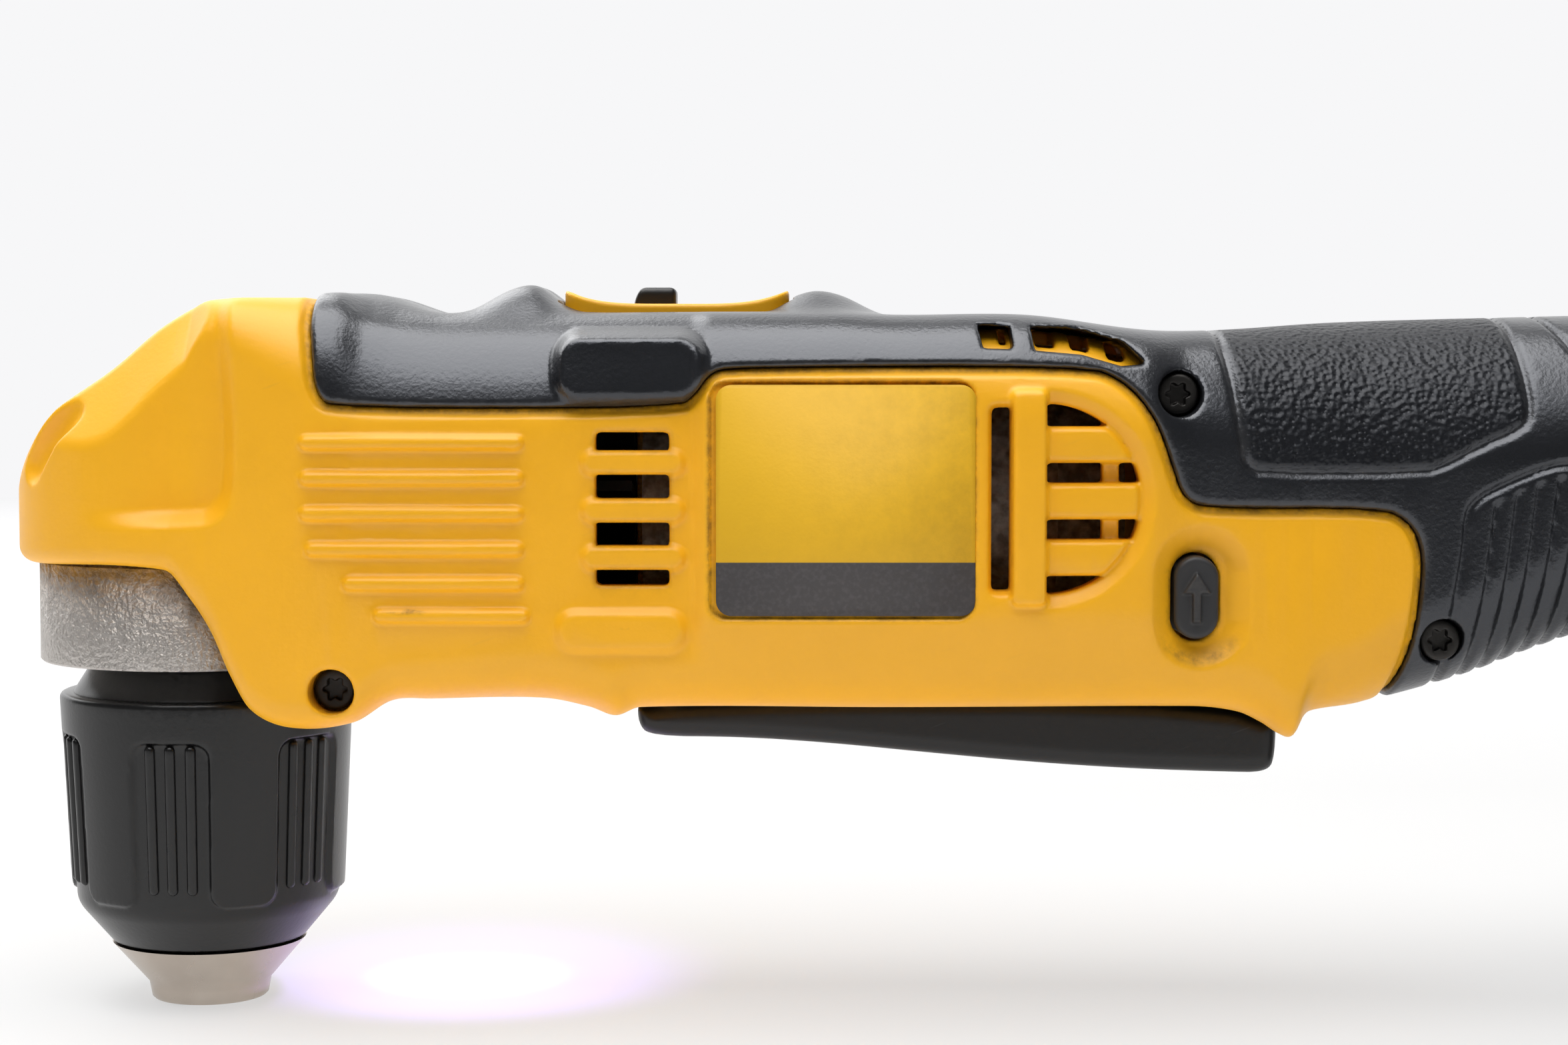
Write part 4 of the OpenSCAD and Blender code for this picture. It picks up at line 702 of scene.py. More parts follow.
class Nodes:
    """Short way to add and link the nodes of one tree."""

    def __init__(self, tree):
        self.tree = tree

    def set(self, node, inputs):
        """Gives a node's inputs their values, or the sockets that feed them."""
        for key, value in inputs.items():
            if isinstance(value, bpy.types.NodeSocket):
                self.tree.links.new(value, node.inputs[key])
            else:
                node.inputs[key].default_value = value

    def add(self, kind, inputs=None, **settings):
        node = self.tree.nodes.new(kind)
        for key, value in settings.items():
            setattr(node, key, value)
        self.set(node, inputs or {})
        return node

    def place(self):
        return self.add("ShaderNodeTexCoord").outputs["Object"]

    def attribute(self, name):
        return self.add("ShaderNodeAttribute", attribute_name=name).outputs["Fac"]

    def math(self, operation, a, b=0.0, clamp=False):
        return self.add("ShaderNodeMath", {0: a, 1: b}, operation=operation, use_clamp=clamp).outputs[0]

    def mix(self, factor, a, b):
        return self.add("ShaderNodeMix", {0: factor, 6: a, 7: b}, data_type="RGBA").outputs[2]

    def noise(self, place, scale, detail=3.0, roughness=0.55):
        inputs = {"Vector": place, "Scale": scale, "Detail": detail, "Roughness": roughness}
        return self.add("ShaderNodeTexNoise", inputs).outputs["Fac"]

    def ramp(self, value, low, high):
        inputs = {"Value": value, "From Min": low, "From Max": high}
        return self.add("ShaderNodeMapRange", inputs).outputs["Result"]


def shader_group(name, inputs, outputs):
    """Empty shader group with float inputs, and its node helper and end nodes."""
    tree = bpy.data.node_groups.new(name, "ShaderNodeTree")
    for socket, default in inputs.items():
        item = tree.interface.new_socket(socket, in_out="INPUT", socket_type="NodeSocketFloat")
        item.default_value = default
    for socket in outputs:
        tree.interface.new_socket(socket, in_out="OUTPUT", socket_type="NodeSocketFloat")
    nodes = Nodes(tree)
    return nodes, nodes.add("NodeGroupInput"), nodes.add("NodeGroupOutput")


def moulded_grain_group():
    """Fine grain of a moulded or cast surface, with a slow change of tone over the piece."""
    sizes = {"Grain size": 0.0008, "Patch size": 0.02}
    nodes, start, end = shader_group("Moulded grain", sizes, ("Height", "Tone"))
    place = nodes.place()
    fine = nodes.noise(place, nodes.math("DIVIDE", 1.0, start.outputs["Grain size"]), 2.0)
    broad = nodes.noise(place, nodes.math("DIVIDE", 1.0, start.outputs["Patch size"]), 4.0)
    nodes.set(end, {"Height": fine, "Tone": broad})
    return nodes.tree


def dirt_and_shade_group():
    """Broken dirt and painted shade where the piece's own vertex attribute for them is high, with a few loose
    specks of dirt.
    """
    nodes, start, end = shader_group("Dirt and shade", {"Amount": 1.0, "Speck size": 0.003}, ("Mask",))
    place = nodes.place()
    patch = nodes.noise(place, 420.0, 5.0, 0.7)
    broken = nodes.math("MULTIPLY", nodes.attribute("dirt_and_shade"), nodes.ramp(patch, 0.34, 0.66))
    speck = nodes.noise(place, nodes.math("DIVIDE", 1.0, start.outputs["Speck size"]), 2.0)
    loose = nodes.math("MULTIPLY", nodes.ramp(speck, 0.77, 0.83), nodes.ramp(patch, 0.5, 0.7))
    total = nodes.math("ADD", broken, nodes.math("MULTIPLY", loose, 0.6))
    nodes.set(end, {"Mask": nodes.math("MULTIPLY", total, start.outputs["Amount"], clamp=True)})
    return nodes.tree


def scuff_group():
    """Faint long scratches, thicker on a few patches."""
    nodes, start, end = shader_group("Scuffs", {"Length": 0.012, "Width": 0.0006}, ("Mask",))
    place = nodes.place()
    along = nodes.math("DIVIDE", 1.0, start.outputs["Length"])
    across = nodes.math("DIVIDE", 1.0, start.outputs["Width"])
    scale = nodes.add("ShaderNodeCombineXYZ", {"X": along, "Y": across, "Z": across}).outputs[0]
    turn = nodes.add("ShaderNodeMapping", {"Vector": place, "Rotation": (0.0, 0.35, 0.0)}).outputs[0]
    stretched = nodes.add("ShaderNodeVectorMath", {0: turn, 1: scale}, operation="MULTIPLY").outputs[0]
    line = nodes.ramp(nodes.noise(stretched, 1.0, 1.0), 0.70, 0.78)
    patch = nodes.ramp(nodes.noise(place, 60.0, 2.0), 0.5, 0.7)
    nodes.set(end, {"Mask": nodes.math("MULTIPLY", line, patch)})
    return nodes.tree


GROUPS = {}
MATERIALS = {}


def group_node(nodes, name, **values):
    """A shared shader group placed in a material with its own values."""
    node = nodes.add("ShaderNodeGroup", node_tree=GROUPS[name])
    for key, value in values.items():
        node.inputs[key.replace("_", " ").capitalize()].default_value = value
    return node


def surface(name, colour, dark, roughness, grain_size, grain_depth, metallic=0.0, patch_size=0.02):
    """Grained material whose tone drifts between two colours. Returns its parts to build on."""
    material = bpy.data.materials.new(name)
    material.use_nodes = True
    nodes = Nodes(material.node_tree)
    shader = material.node_tree.nodes["Principled BSDF"]
    grain = group_node(nodes, "Moulded grain", grain_size=grain_size, patch_size=patch_size)
    tone = grain.outputs["Tone"]
    base = nodes.mix(nodes.ramp(tone, 0.35, 0.68), (*dark, 1.0), (*colour, 1.0))
    limits = {"Value": tone, "To Min": roughness * 0.85, "To Max": roughness * 1.2}
    rough = nodes.add("ShaderNodeMapRange", limits).outputs["Result"]
    relief = {"Height": grain.outputs["Height"], "Strength": 0.6, "Distance": grain_depth}
    bump = nodes.add("ShaderNodeBump", relief).outputs[0]
    nodes.set(shader, {"Metallic": metallic, "Base Color": base, "Roughness": rough, "Normal": bump})
    MATERIALS[name] = material
    return nodes, shader, base, rough, bump


def lay_dirt_and_shade(nodes, shader, base, rough, colour, amount, speck_size=0.003):
    """Lays dirt over a surface, and painted shade where the piece's vertex attribute holds it, and dulls it
    there.
    """
    mask = group_node(nodes, "Dirt and shade", amount=amount, speck_size=speck_size).outputs["Mask"]
    dull = nodes.math("ADD", rough, nodes.math("MULTIPLY", mask, 0.35), clamp=True)
    nodes.set(shader, {"Base Color": nodes.mix(mask, base, (*colour, 1.0)), "Roughness": dull})


def scuff(nodes, base, colour, amount, **sizes):
    """Lays scratches over a colour."""
    mask = group_node(nodes, "Scuffs", **sizes).outputs["Mask"]
    return nodes.mix(nodes.math("MULTIPLY", mask, amount), base, (*colour, 1.0))


def shade(colour, share):
    return tuple(share * c for c in colour)


def make_yellow(look):
    nodes, shader, base, rough, _ = surface(
        "yellow_plastic", tuple(look.yellow), shade(look.yellow, 0.95), 0.42, 0.0007, 0.00004)
    scuffed = scuff(nodes, base, (0.45, 0.26, 0.06), 0.10)
    # The dark soil colour stands for dirt, and for painted shade where the shell's attribute marks the screw
    # wells, the inner walls and the lip by the rubber.
    lay_dirt_and_shade(nodes, shader, scuffed, rough, (0.055, 0.03, 0.012), 0.9, 0.0035)


def make_rubber(look):
    """Smooth rubber that is pebbled and duller where the panel attribute is high."""
    nodes, shader, base, rough, bump = surface(
        "grip_rubber", tuple(look.rubber), shade(look.rubber, 0.82), 0.30, 0.0006, 0.00010)
    panel = nodes.attribute("panel")
    cells = {"Vector": nodes.place(), "Scale": 1350.0}
    pebble = nodes.add("ShaderNodeTexVoronoi", cells, feature="SMOOTH_F1").outputs["Distance"]
    height = nodes.math("MULTIPLY", pebble, panel)
    relief = {"Height": height, "Strength": 0.8, "Distance": 0.0004, "Normal": bump}
    nodes.set(shader, {
        "Normal": nodes.add("ShaderNodeBump", relief).outputs[0],
        "Specular Tint": (0.90, 0.93, 1.0, 1.0),
        "Specular IOR Level": nodes.math("SUBTRACT", 0.85, nodes.math("MULTIPLY", panel, 0.5))})
    dull = nodes.math("ADD", rough, nodes.math("MULTIPLY", panel, 0.10))
    lay_dirt_and_shade(nodes, shader, base, dull, (0.16, 0.15, 0.14), 0.35, 0.0022)


# Dark plastics: name, grey, roughness and dust
DARK_PLASTICS = (
    ("black_plastic", 0.008, 0.40, 0.25),
    ("sleeve_plastic", 0.0055, 0.28, 0.06),
    ("button_plastic", 0.03, 0.5, 0.25),
)
# Metals and ferrite: name, colour, darker colour, roughness, grain size and depth, metallic, patch size
# and amount of soil
METALS = (
    ("cast_alloy", (0.60, 0.565, 0.535), (0.50, 0.47, 0.44), 0.44, 0.0008, 0.0009, 0.75, 0.02, 1.0),
    # Steel of the housing screws, darkened as painted shade for their place deep in the wells
    ("dark_steel", (0.05, 0.047, 0.044), (0.03, 0.028, 0.026), 0.45, 0.0005, 0.00003, 0.8, 0.02, 0.3),
    ("bright_steel", (0.60, 0.53, 0.46), (0.47, 0.40, 0.34), 0.26, 0.0005, 0.00001, 1.0, 0.02, 0.3),
    ("gear_steel", (0.30, 0.29, 0.28), (0.20, 0.19, 0.18), 0.38, 0.0006, 0.00002, 1.0, 0.02, 0.3),
    ("dusty_can", (0.60, 0.57, 0.53), (0.24, 0.20, 0.16), 0.6, 0.0009, 0.0001, 0.5, 0.0016, 0.3),
    ("copper", (0.72, 0.36, 0.18), (0.5, 0.24, 0.11), 0.35, 0.0006, 0.00002, 1.0, 0.02, 0.3),
    ("ferrite", (0.06, 0.06, 0.062), (0.04, 0.04, 0.042), 0.6, 0.0006, 0.00003, 0.2, 0.02, 0.3),
)


def make_dark_plastics():
    for name, tone, roughness, dust in DARK_PLASTICS:
        colour = (tone, tone, 1.06 * tone)
        nodes, shader, base, rough, _ = surface(name, colour, shade(colour, 0.8), roughness, 0.0006, 0.00003)
        scuffed = scuff(nodes, base, (0.16, 0.16, 0.17), 0.6 * dust, length=0.006, width=0.0004)
        lay_dirt_and_shade(nodes, shader, scuffed, rough, (0.13, 0.12, 0.11), dust)


def make_metals():
    for *look, amount in METALS:
        nodes, shader, base, rough, _ = surface(*look)
        lay_dirt_and_shade(nodes, shader, base, rough, (0.05, 0.032, 0.02), amount)


def make_small_finishes(look):
    """Label film with its band, lamp lens, circuit board and cell wrap."""
    nodes, shader, base, rough, _ = surface(
        "label_film", tuple(look.label), shade(look.label, 0.98), 0.5, 0.0005, 0.00004)
    nodes.set(shader, {"Specular IOR Level": 0.25})
    place = nodes.place()
    height = nodes.add("ShaderNodeSeparateXYZ", {0: place}).outputs["Z"]
    above = nodes.math("GREATER_THAN", height, LABEL_BAND_Z * MM)
    speck = nodes.ramp(nodes.noise(place, 1800.0, 1.0), 0.45, 0.75)
    band = nodes.mix(speck, (*look.band, 1.0), (*shade(look.band, 1.25), 1.0))
    lay_dirt_and_shade(nodes, shader, nodes.mix(above, band, base), rough, (0.05, 0.03, 0.015), 0.35)
    nodes, shader, *_ = surface("lamp_lens", (0.80, 0.80, 0.95), (0.70, 0.70, 0.9), 0.12, 0.002, 0.00001)
    nodes.set(shader, {"Emission Color": (0.80, 0.75, 1.0, 1.0), "Emission Strength": 4.0})
    surface("board", (0.03, 0.13, 0.05), (0.02, 0.09, 0.035), 0.45, 0.001, 0.00003)
    surface("cell_wrap", (0.06, 0.20, 0.28), (0.05, 0.16, 0.23), 0.3, 0.002, 0.00001)


def make_materials(look):
    """Every finish of the drill, by the name that its pieces use."""
    for tree in (moulded_grain_group(), dirt_and_shade_group(), scuff_group()):
        GROUPS[tree.name] = tree
    make_yellow(look)
    make_rubber(look)
    make_dark_plastics()
    make_metals()
    make_small_finishes(look)


# What all colour properties have in common
COLOUR = {"subtype": "COLOR", "size": 3, "min": 0, "max": 1}


class DrillLook(bpy.types.PropertyGroup):
    """Colours and mesh sizes that a user would change."""

    yellow: FloatVectorProperty(
        name="Body yellow", description="Colour of the moulded shells",
        default=(0.93, 0.45, 0.006), **COLOUR)
    rubber: FloatVectorProperty(
        name="Grip rubber", description="Colour of the moulded grips",
        default=(0.0075, 0.0083, 0.0105), **COLOUR)
    label: FloatVectorProperty(
        name="Label field", description="Colour of the label's upper field",
        default=(0.77, 0.44, 0.022), **COLOUR)
    band: FloatVectorProperty(
        name="Label band", description="Colour of the label's lower band",
        default=(0.075, 0.07, 0.072), **COLOUR)
    shell_step: FloatProperty(
        name="Shell step", description="Spacing of the points that the shells are meshed from, in mm",
        default=0.4, min=0.25, max=1.0)
    small_step: FloatProperty(
        name="Small piece step", description="Spacing of the points that small pieces are meshed from, in mm",
        default=0.25, min=0.1, max=1.0)


class DrillStage(bpy.types.PropertyGroup):
    """Camera and light."""

    lens: FloatProperty(
        name="Lens", description="Focal length of the camera", default=65.3, min=20, max=200, unit="CAMERA")
    key_power: FloatProperty(
        name="Key light", description="Power of the large light above",
        default=15.8, min=0, max=100, unit="POWER")
    lamp_power: FloatProperty(
        name="Work lamp", description="Power of the drill's own lamp",
        default=0.08, min=0, max=10, unit="POWER")


class DRILL_OT_shells(bpy.types.Operator):
    """Build both moulded half shells and their rubber grips"""

    bl_idname = "drill.shells"
    bl_label = "Shells and Grips"

    def execute(self, context):
        look = context.scene.drill_look
        make_materials(look)
        low = (-HEAD_R - 1, -BODY_HALF_W * WIDTH_SHARES[-1][1] - 3, SHELL_SPAN[0] * HEAD_H)
        grid = Grid(low, (BODY_L + 1, 1, SHELL_SPAN[1] * HEAD_H), look.shell_step)
        for side, left in (("left", True), ("right", False)):
            yellow, rubber = half_shells(grid, left)
            mesh = field_piece(
                "shell_" + side, grid, yellow, "body", "yellow_plastic", ["housing_" + side], mirror=not left)
            paint(mesh, "dirt_and_shade", shell_dirt_and_shade(*mesh_places(mesh), left))
            mesh = field_piece(
                "rubber_" + side, grid, rubber, "body", "grip_rubber", ["grip_" + side], mirror=not left)
            x, _, z = mesh_places(mesh)
            paint(mesh, "panel", smooth_step(handle_panel_field(x, z) + 0.9, 0.8))
            paint(mesh, "dirt_and_shade", grip_grime(x, z))
        return {"FINISHED"}


def near(d, reach):
    """1 on a line or border, fading to nothing over reach."""
    return np.exp(-(d / reach) ** 2)


def shell_dirt_and_shade(x, y, z, left):
    """Where the yellow shells are darkened: dirt along edges, gaps and openings, painted shade along the lip
    by the rubber, inside the screw wells and on the inner walls behind the openings.
    """
    depth = y + BODY_HALF_W * smooth_curve(WIDTH_SHARES, x / BODY_L)
    spots = [
        # Recessed lip beside the rubber: dirt, and painted shade for the recess.
        0.75 * near(grip_field(x, z) - 0.35, 0.5),
        0.35 * near(np.maximum(vent_field(x, z), 0), 0.6),
        0.2 * near(np.maximum(grille_field(x, z), 0), 0.35),
        0.6 * near(button_field(x, z) - BUTTON_GAP, 0.45),
        0.7 * near(dish_field(x, z) + 1.2, 0.8) * smooth_step(z - BUTTON_Z + 6.0, 4.0),
        # Screw wells grow darker with depth: painted shade.
        smooth_step(screw_field(x, z, SCREW_WELL_R) - 0.2, 0.6) * np.clip(depth / 2.5, 0, 1),
    ]
    # Inner walls behind the windows and the vent, painted dark as shade.
    for reach, plate in ((BAFFLE_HALF_T + 1.2, BAFFLE), (FAN_PLATE_HALF_W + 1.5, FAN_PLATE)):
        inside = smooth_step(-reach - y if left else y - reach, 0.8)
        spots.append(1.5 * inside * smooth_step(flat_box(x, z, *plate, 0.1), 0.8))
    if left:
        spots.append(0.9 * near(label_field(x, z) - 0.15, 0.35))
        spots.append(1.6 * smooth_step(flat_bar(x, z, *CHIP_ENDS, 0.35), 0.5))
    return np.maximum.reduce(spots)


def grip_grime(x, z):
    return np.maximum(0.5 * near(grip_field(x, z), 0.8), 0.4 * near(handle_panel_field(x, z), 0.6))


def rounded_prism(grid, side, half_w, r):
    """Solid with the given field in the side view and the given half-width, its long edges rounded."""
    return round_max(side, np.abs(grid.y) - half_w, r)


# Side outline of the trigger, in millimetres from its front top corner
TRIGGER_OUTLINE = (
    (-0.1, 0.6), (-0.1, -3.2), (1.6, -4.9), (14.0, -5.0), (26.0, -5.8), (40.0, -7.2), (54.0, -8.5),
    (68.0, -9.4), (80.0, -9.8), (85.8, -9.9), (87.1, -8.0), (87.1, 0.6),
)
TRIGGER_LUG_R = 3.0
TRIGGER_TONGUE_X = (141.3, 145.1)
TRIGGER_TONGUE_HALF_W = 3.0


class DRILL_OT_trigger(bpy.types.Operator):
    """Build the trigger paddle with its hinge lug and the tongue that meets the switch"""

    bl_idname = "drill.trigger"
    bl_label = "Trigger"

    def execute(self, context):
        low, high, grid = node_grid("trigger_paddle", 1.4 * context.scene.drill_look.small_step)
        half_w = (high[1] - low[1]) / 2
        points = [(low[0] + p[0], TRIGGER_Z + p[1]) for p in TRIGGER_OUTLINE]
        side = flat_outline(grid.x, grid.z, round_corners(points, 2)).astype(np.float32)
        pin_x, _, pin_z = node_middle("trigger_pin")
        lug = np.hypot(grid.x - pin_x, grid.z - pin_z) - TRIGGER_LUG_R
        paddle = soft_min(rounded_prism(grid, side, half_w, 2.4), rounded_prism(grid, lug, half_w, 0.6), 1.5)
        front, rear = TRIGGER_TONGUE_X
        tongue = box_field(grid, (front, -TRIGGER_TONGUE_HALF_W, TRIGGER_Z - 1),
                           (rear, TRIGGER_TONGUE_HALF_W, high[2]))
        paddle = np.minimum(paddle, tongue)
        field_piece("trigger", grid, paddle, "trigger", "black_plastic", ["trigger_paddle"], limit=60000)
        return {"FINISHED"}


class DRILL_OT_label(bpy.types.Operator):
    """Build the bare label plate in its recess"""

    bl_idname = "drill.label"
    bl_label = "Label Plate"

    def execute(self, context):
        low, high = node_box("label_plate")
        plate = rounded_plate("label", low[::2], high[::2], LABEL_ROUND, (low[1], high[1]), 0.15)
        x, _, z = mesh_places(plate)
        paint(plate, "dirt_and_shade", 0.5 * near(label_field(x, z), 0.3))
        finish_piece("label", plate, "body", "label_film", ["label_plate"])
        return {"FINISHED"}


def rounded_plate(name, low, high, r, depth, edge):
    """Plate in the side view with round corners, from depth[0] to depth[1] in Y, with bevelled edges."""
    outline = []
    steps = 10
    for corner, (cx, cz) in enumerate(((high[0] - r, high[1] - r), (low[0] + r, high[1] - r),
                                       (low[0] + r, low[1] + r), (high[0] - r, low[1] + r))):
        for i in range(steps + 1):
            a = pi / 2 * (corner + i / steps)
            outline.append((cx + r * cos(a), cz + r * sin(a)))
    shape = bmesh.new()
    face = shape.faces.new([shape.verts.new((p[0] * MM, depth[0] * MM, p[1] * MM)) for p in outline])
    rise = bmesh.ops.extrude_face_region(shape, geom=[face])
    moved = [v for v in rise["geom"] if isinstance(v, bmesh.types.BMVert)]
    bmesh.ops.translate(shape, verts=moved, vec=(0, (depth[1] - depth[0]) * MM, 0))
    bmesh.ops.recalc_face_normals(shape, faces=shape.faces)
    rims = [e for e in shape.edges if len({round(v.co.y, 7) for v in e.verts}) == 1]
    bmesh.ops.bevel(shape, geom=rims, offset=edge * MM, segments=2, affect="EDGES")
    mesh = bpy.data.meshes.new(name)
    shape.to_mesh(mesh)
    shape.free()
    return mesh


# Arrow on the ends of the direction button, in millimetres from its middle
ARROW = ((-0.55, -3.2), (0.55, -3.2), (0.55, 0.6), (1.75, 0.6), (0.0, 3.3), (-1.75, 0.6), (-0.55, 0.6))
ARROW_RISE = 0.7
# Bezel of the speed selector: corners, rise of its ends, and width and depth of the rim round its trough
BEZEL_ROUND = 4.0
BEZEL_END_RISE = 2.0
BEZEL_RIM_W = 1.7
BEZEL_TROUGH = 1.1


def arrow_field(x, z):
    return flat_outline(x - BUTTON_X, z - BUTTON_Z, np.array(ARROW))


def build_button(step):
    """Direction button with an arrow raised on both ends."""
    _, high, grid = node_grid("direction_button", step)
    arrow = arrow_field(grid.x, grid.z).astype(np.float32)
    reach = high[1] - ARROW_RISE + ARROW_RISE * smooth_step(arrow, 0.3)
    button = round_max(button_field(grid.x, grid.z).astype(np.float32), np.abs(grid.y) - reach, 0.7)
    mesh = field_piece(
        "button", grid, button, "direction", "black_plastic", ["direction_button"], "button_plastic", 80000)
    x, y, z = mesh_places(mesh)
    end = smooth_step(high[1] - 0.3 - np.abs(y), 0.2)
    paint(mesh, "dirt_and_shade", 0.8 * smooth_step(arrow_field(x, z), 0.3) * end)


def build_bezel(step):
    """Yellow bezel of the speed selector, with a slot for the slider's travel."""
    low, high = node_box("selector_plate")
    slot_low, slot_high = node_box("speed_slider")
    grid = Grid(low - 1, (high[0] + 1, high[1] + 1, HEAD_H * 1.03), step)
    middle_x, half_l = (low[0] + high[0]) / 2, (high[0] - low[0]) / 2
    plan = flat_box(grid.x, grid.y, low[:2], high[:2], BEZEL_ROUND).astype(np.float32)
    rim = high[2] + 0.5 + BEZEL_END_RISE * (np.abs(grid.x - middle_x) / half_l) ** 4
    trough = rim - BEZEL_TROUGH * smooth_step(plan + BEZEL_RIM_W, 0.8)
    bezel = round_max(plan, np.maximum(grid.z - trough, low[2] - grid.z), 0.5)
    gap = 0.5
    slot_end = slot_high + np.array((slide_travel("speed_shift") + gap, gap, gap))
    bezel = np.maximum(bezel, -box_field(grid, slot_low - gap, slot_end))
    field_piece("selector_bezel", grid, bezel, "body", "yellow_plastic", ["selector_plate"], limit=80000)


def build_slider(step):
    """Slider of the speed selector, with a slanted front."""
    low, high, grid = node_grid("speed_slider", step)
    nub = round_max(flat_box(grid.x, grid.y, low[:2], high[:2], 0.8), grid.z - high[2] + 0.5, 0.8)
    nub = np.maximum(nub, low[2] - grid.z)
    slant = (low[0] - grid.x + 0.6 * (grid.z - high[2] + 2.2)) * 0.85
    nub = round_max(nub, slant, 0.5)
    field_piece("slider", grid, nub, "selector", "black_plastic", ["speed_slider"], limit=60000)


class DRILL_OT_controls(bpy.types.Operator):
    """Build the direction button with its arrows, the speed slider and the yellow bezel round it"""

    bl_idname = "drill.controls"
    bl_label = "Button and Speed Selector"

    def execute(self, context):
        step = context.scene.drill_look.small_step
        build_button(0.8 * step)
        build_bezel(step)
        build_slider(step)
        return {"FINISHED"}


def slide_travel(joint):
    """Travel of a sliding joint in millimetres."""
    for row in frame["record"]["behaviour"]["joints"]:
        if row["name"] == joint:
            return (row["range_m"][1] - row["range_m"][0]) / MM
    raise KeyError(joint)


# Copies of CAD nodes: points nearer than this are merged, and edges sharper than this stay edges
MERGE_DISTANCE = 0.005
SHARP_ANGLE = radians(28)


def dress_copy(node, body, slot, finish=None, dirt_and_shade=None):
    """Stands a merged copy in for a CAD node, smooth but for its true edges, with its own finish."""
    mesh = frame["nodes"][node].data.copy()
    shape = bmesh.new()
    shape.from_mesh(mesh)
    bmesh.ops.remove_doubles(shape, verts=shape.verts, dist=MERGE_DISTANCE * MM)
    shape.to_mesh(mesh)
    shape.free()
    if dirt_and_shade is not None:
        paint(mesh, "dirt_and_shade", dirt_and_shade(*mesh_places(mesh)))
    finish_piece(node + ".smooth", mesh, body, slot, [node], finish)
    mesh.set_sharp_from_angle(angle=SHARP_ANGLE)


# Profile of the chuck sleeve as radius and height, and its grip panels
SLEEVE_PROFILE = ((13.9, 8.4), (18.6, 14.0), (20.0, 43.0))
SLEEVE_WALL = 1.6
SLEEVE_TURN = radians(26)
SLEEVE_PANELS = 6
SLEEVE_PANEL_DEPTH = 0.7
SLEEVE_TONGUE_HALF_W = 4.6
SLEEVE_TONGUE_FOOT_Z = 15.2
SLEEVE_PANEL_TOP_Z = 37.5
HUB_R = 15.6
HUB_FOOT_R = 18.5
HUB_BORE_R = 6.6
SLEEVE_RIBS = 3
SLEEVE_RIB_PITCH = 2.7
SLEEVE_RIB_FOOT_Z = 17.0
SLEEVE_RIB_HALF_W = 0.75
SLEEVE_RIB_SINK = 0.12
SLEEVE_RIB_ROOT = 0.6


def sleeve_radius(z):
    """Outer radius of the sleeve at a height, with a soft bend above its cone."""
    radii, heights = np.array(SLEEVE_PROFILE).T
    cone = radii[0] + (z - heights[0]) * (radii[1] - radii[0]) / (heights[1] - heights[0])
    side = radii[1] + (z - heights[1]) * (radii[2] - radii[1]) / (heights[2] - heights[1])
    return soft_min(cone, side, 0.9)


def build_sleeve(step):
    """Chuck sleeve: sunk grip panels between tongues that run down from its upper ring."""
    low, high, grid = node_grid("chuck_sleeve", step)
    radius = np.hypot(grid.x, grid.y)
    pitch = 2 * pi / SLEEVE_PANELS
    turn = (np.arctan2(grid.y, grid.x) - SLEEVE_TURN + pitch) % pitch - pitch / 2
    arc = np.abs(turn) * SLEEVE_PROFILE[1][0]
    side = sleeve_radius(grid.z)
    tongue = flat_box(arc, grid.z, (-SLEEVE_TONGUE_HALF_W, SLEEVE_TONGUE_FOOT_Z),
                      (SLEEVE_TONGUE_HALF_W, 2 * high[2]), 2.2)
    raised = soft_min(tongue, SLEEVE_PANEL_TOP_Z - grid.z, 2.5)
    outer = radius - side + SLEEVE_PANEL_DEPTH * (1 - smooth_step(raised, 0.55))
    inner = side - SLEEVE_WALL - SLEEVE_PANEL_DEPTH - radius
    nut_r = node_box("chuck_nut")[1][0] + 0.1
    inner = np.maximum(inner, np.minimum(nut_r - radius, grid.z - SLEEVE_PROFILE[1][1]))
    ends = np.maximum(round_max(outer, grid.z - high[2], 0.8), low[2] - grid.z)
    sleeve = np.maximum(ends, inner)
    field_piece("sleeve", grid, sleeve, "sleeve", "black_plastic", ["chuck_sleeve"], "sleeve_plastic", 120000)


def build_hub():
    """Slanted hub between the sleeve and the collar."""
    foot = node_box("chuck_sleeve")[1][2] - 0.6
    head = node_box("gear_case")[0][2] - 0.5
    reach = HUB_FOOT_R + 1
    grid = Grid((-reach, -reach, foot - 1), (reach, reach, head + 1), 0.3)
    radius = np.hypot(grid.x, grid.y)
    slant = HUB_FOOT_R + (HUB_R - HUB_FOOT_R) * (grid.z - foot) / (head - foot)
    hub = round_max(radius - slant, np.maximum(grid.z - head, foot - grid.z), 0.5)
    hub = np.maximum(hub, HUB_BORE_R - radius)
    field_piece("sleeve_hub", grid, hub, "sleeve", "black_plastic", finish="sleeve_plastic", limit=20000)


class DRILL_OT_sleeve(bpy.types.Operator):
    """Build the chuck sleeve with its six grip panels, set the ribs into them and add the hub above"""

    bl_idname = "drill.sleeve"
    bl_label = "Chuck Sleeve"

    def execute(self, context):
        build_sleeve(1.2 * context.scene.drill_look.small_step)
        finish_piece("sleeve_ribs", sleeve_ribs(), "sleeve", "black_plastic", finish="sleeve_plastic")
        build_hub()
        return {"FINISHED"}


def geometry_tree(name, inputs):
    """Geometry Nodes tree with an input for the shape that it repeats and further named inputs."""
    tree = bpy.data.node_groups.new(name, "GeometryNodeTree")
    tree.interface.new_socket("Geometry", in_out="INPUT", socket_type="NodeSocketGeometry")
    tree.interface.new_socket("Shape", in_out="INPUT", socket_type="NodeSocketObject")
    for socket, kind, default in inputs:
        tree.interface.new_socket(socket, in_out="INPUT", socket_type=kind).default_value = default
    tree.interface.new_socket("Geometry", in_out="OUTPUT", socket_type="NodeSocketGeometry")
    nodes = Nodes(tree)
    return nodes, nodes.add("NodeGroupInput").outputs, nodes.add("NodeGroupOutput")


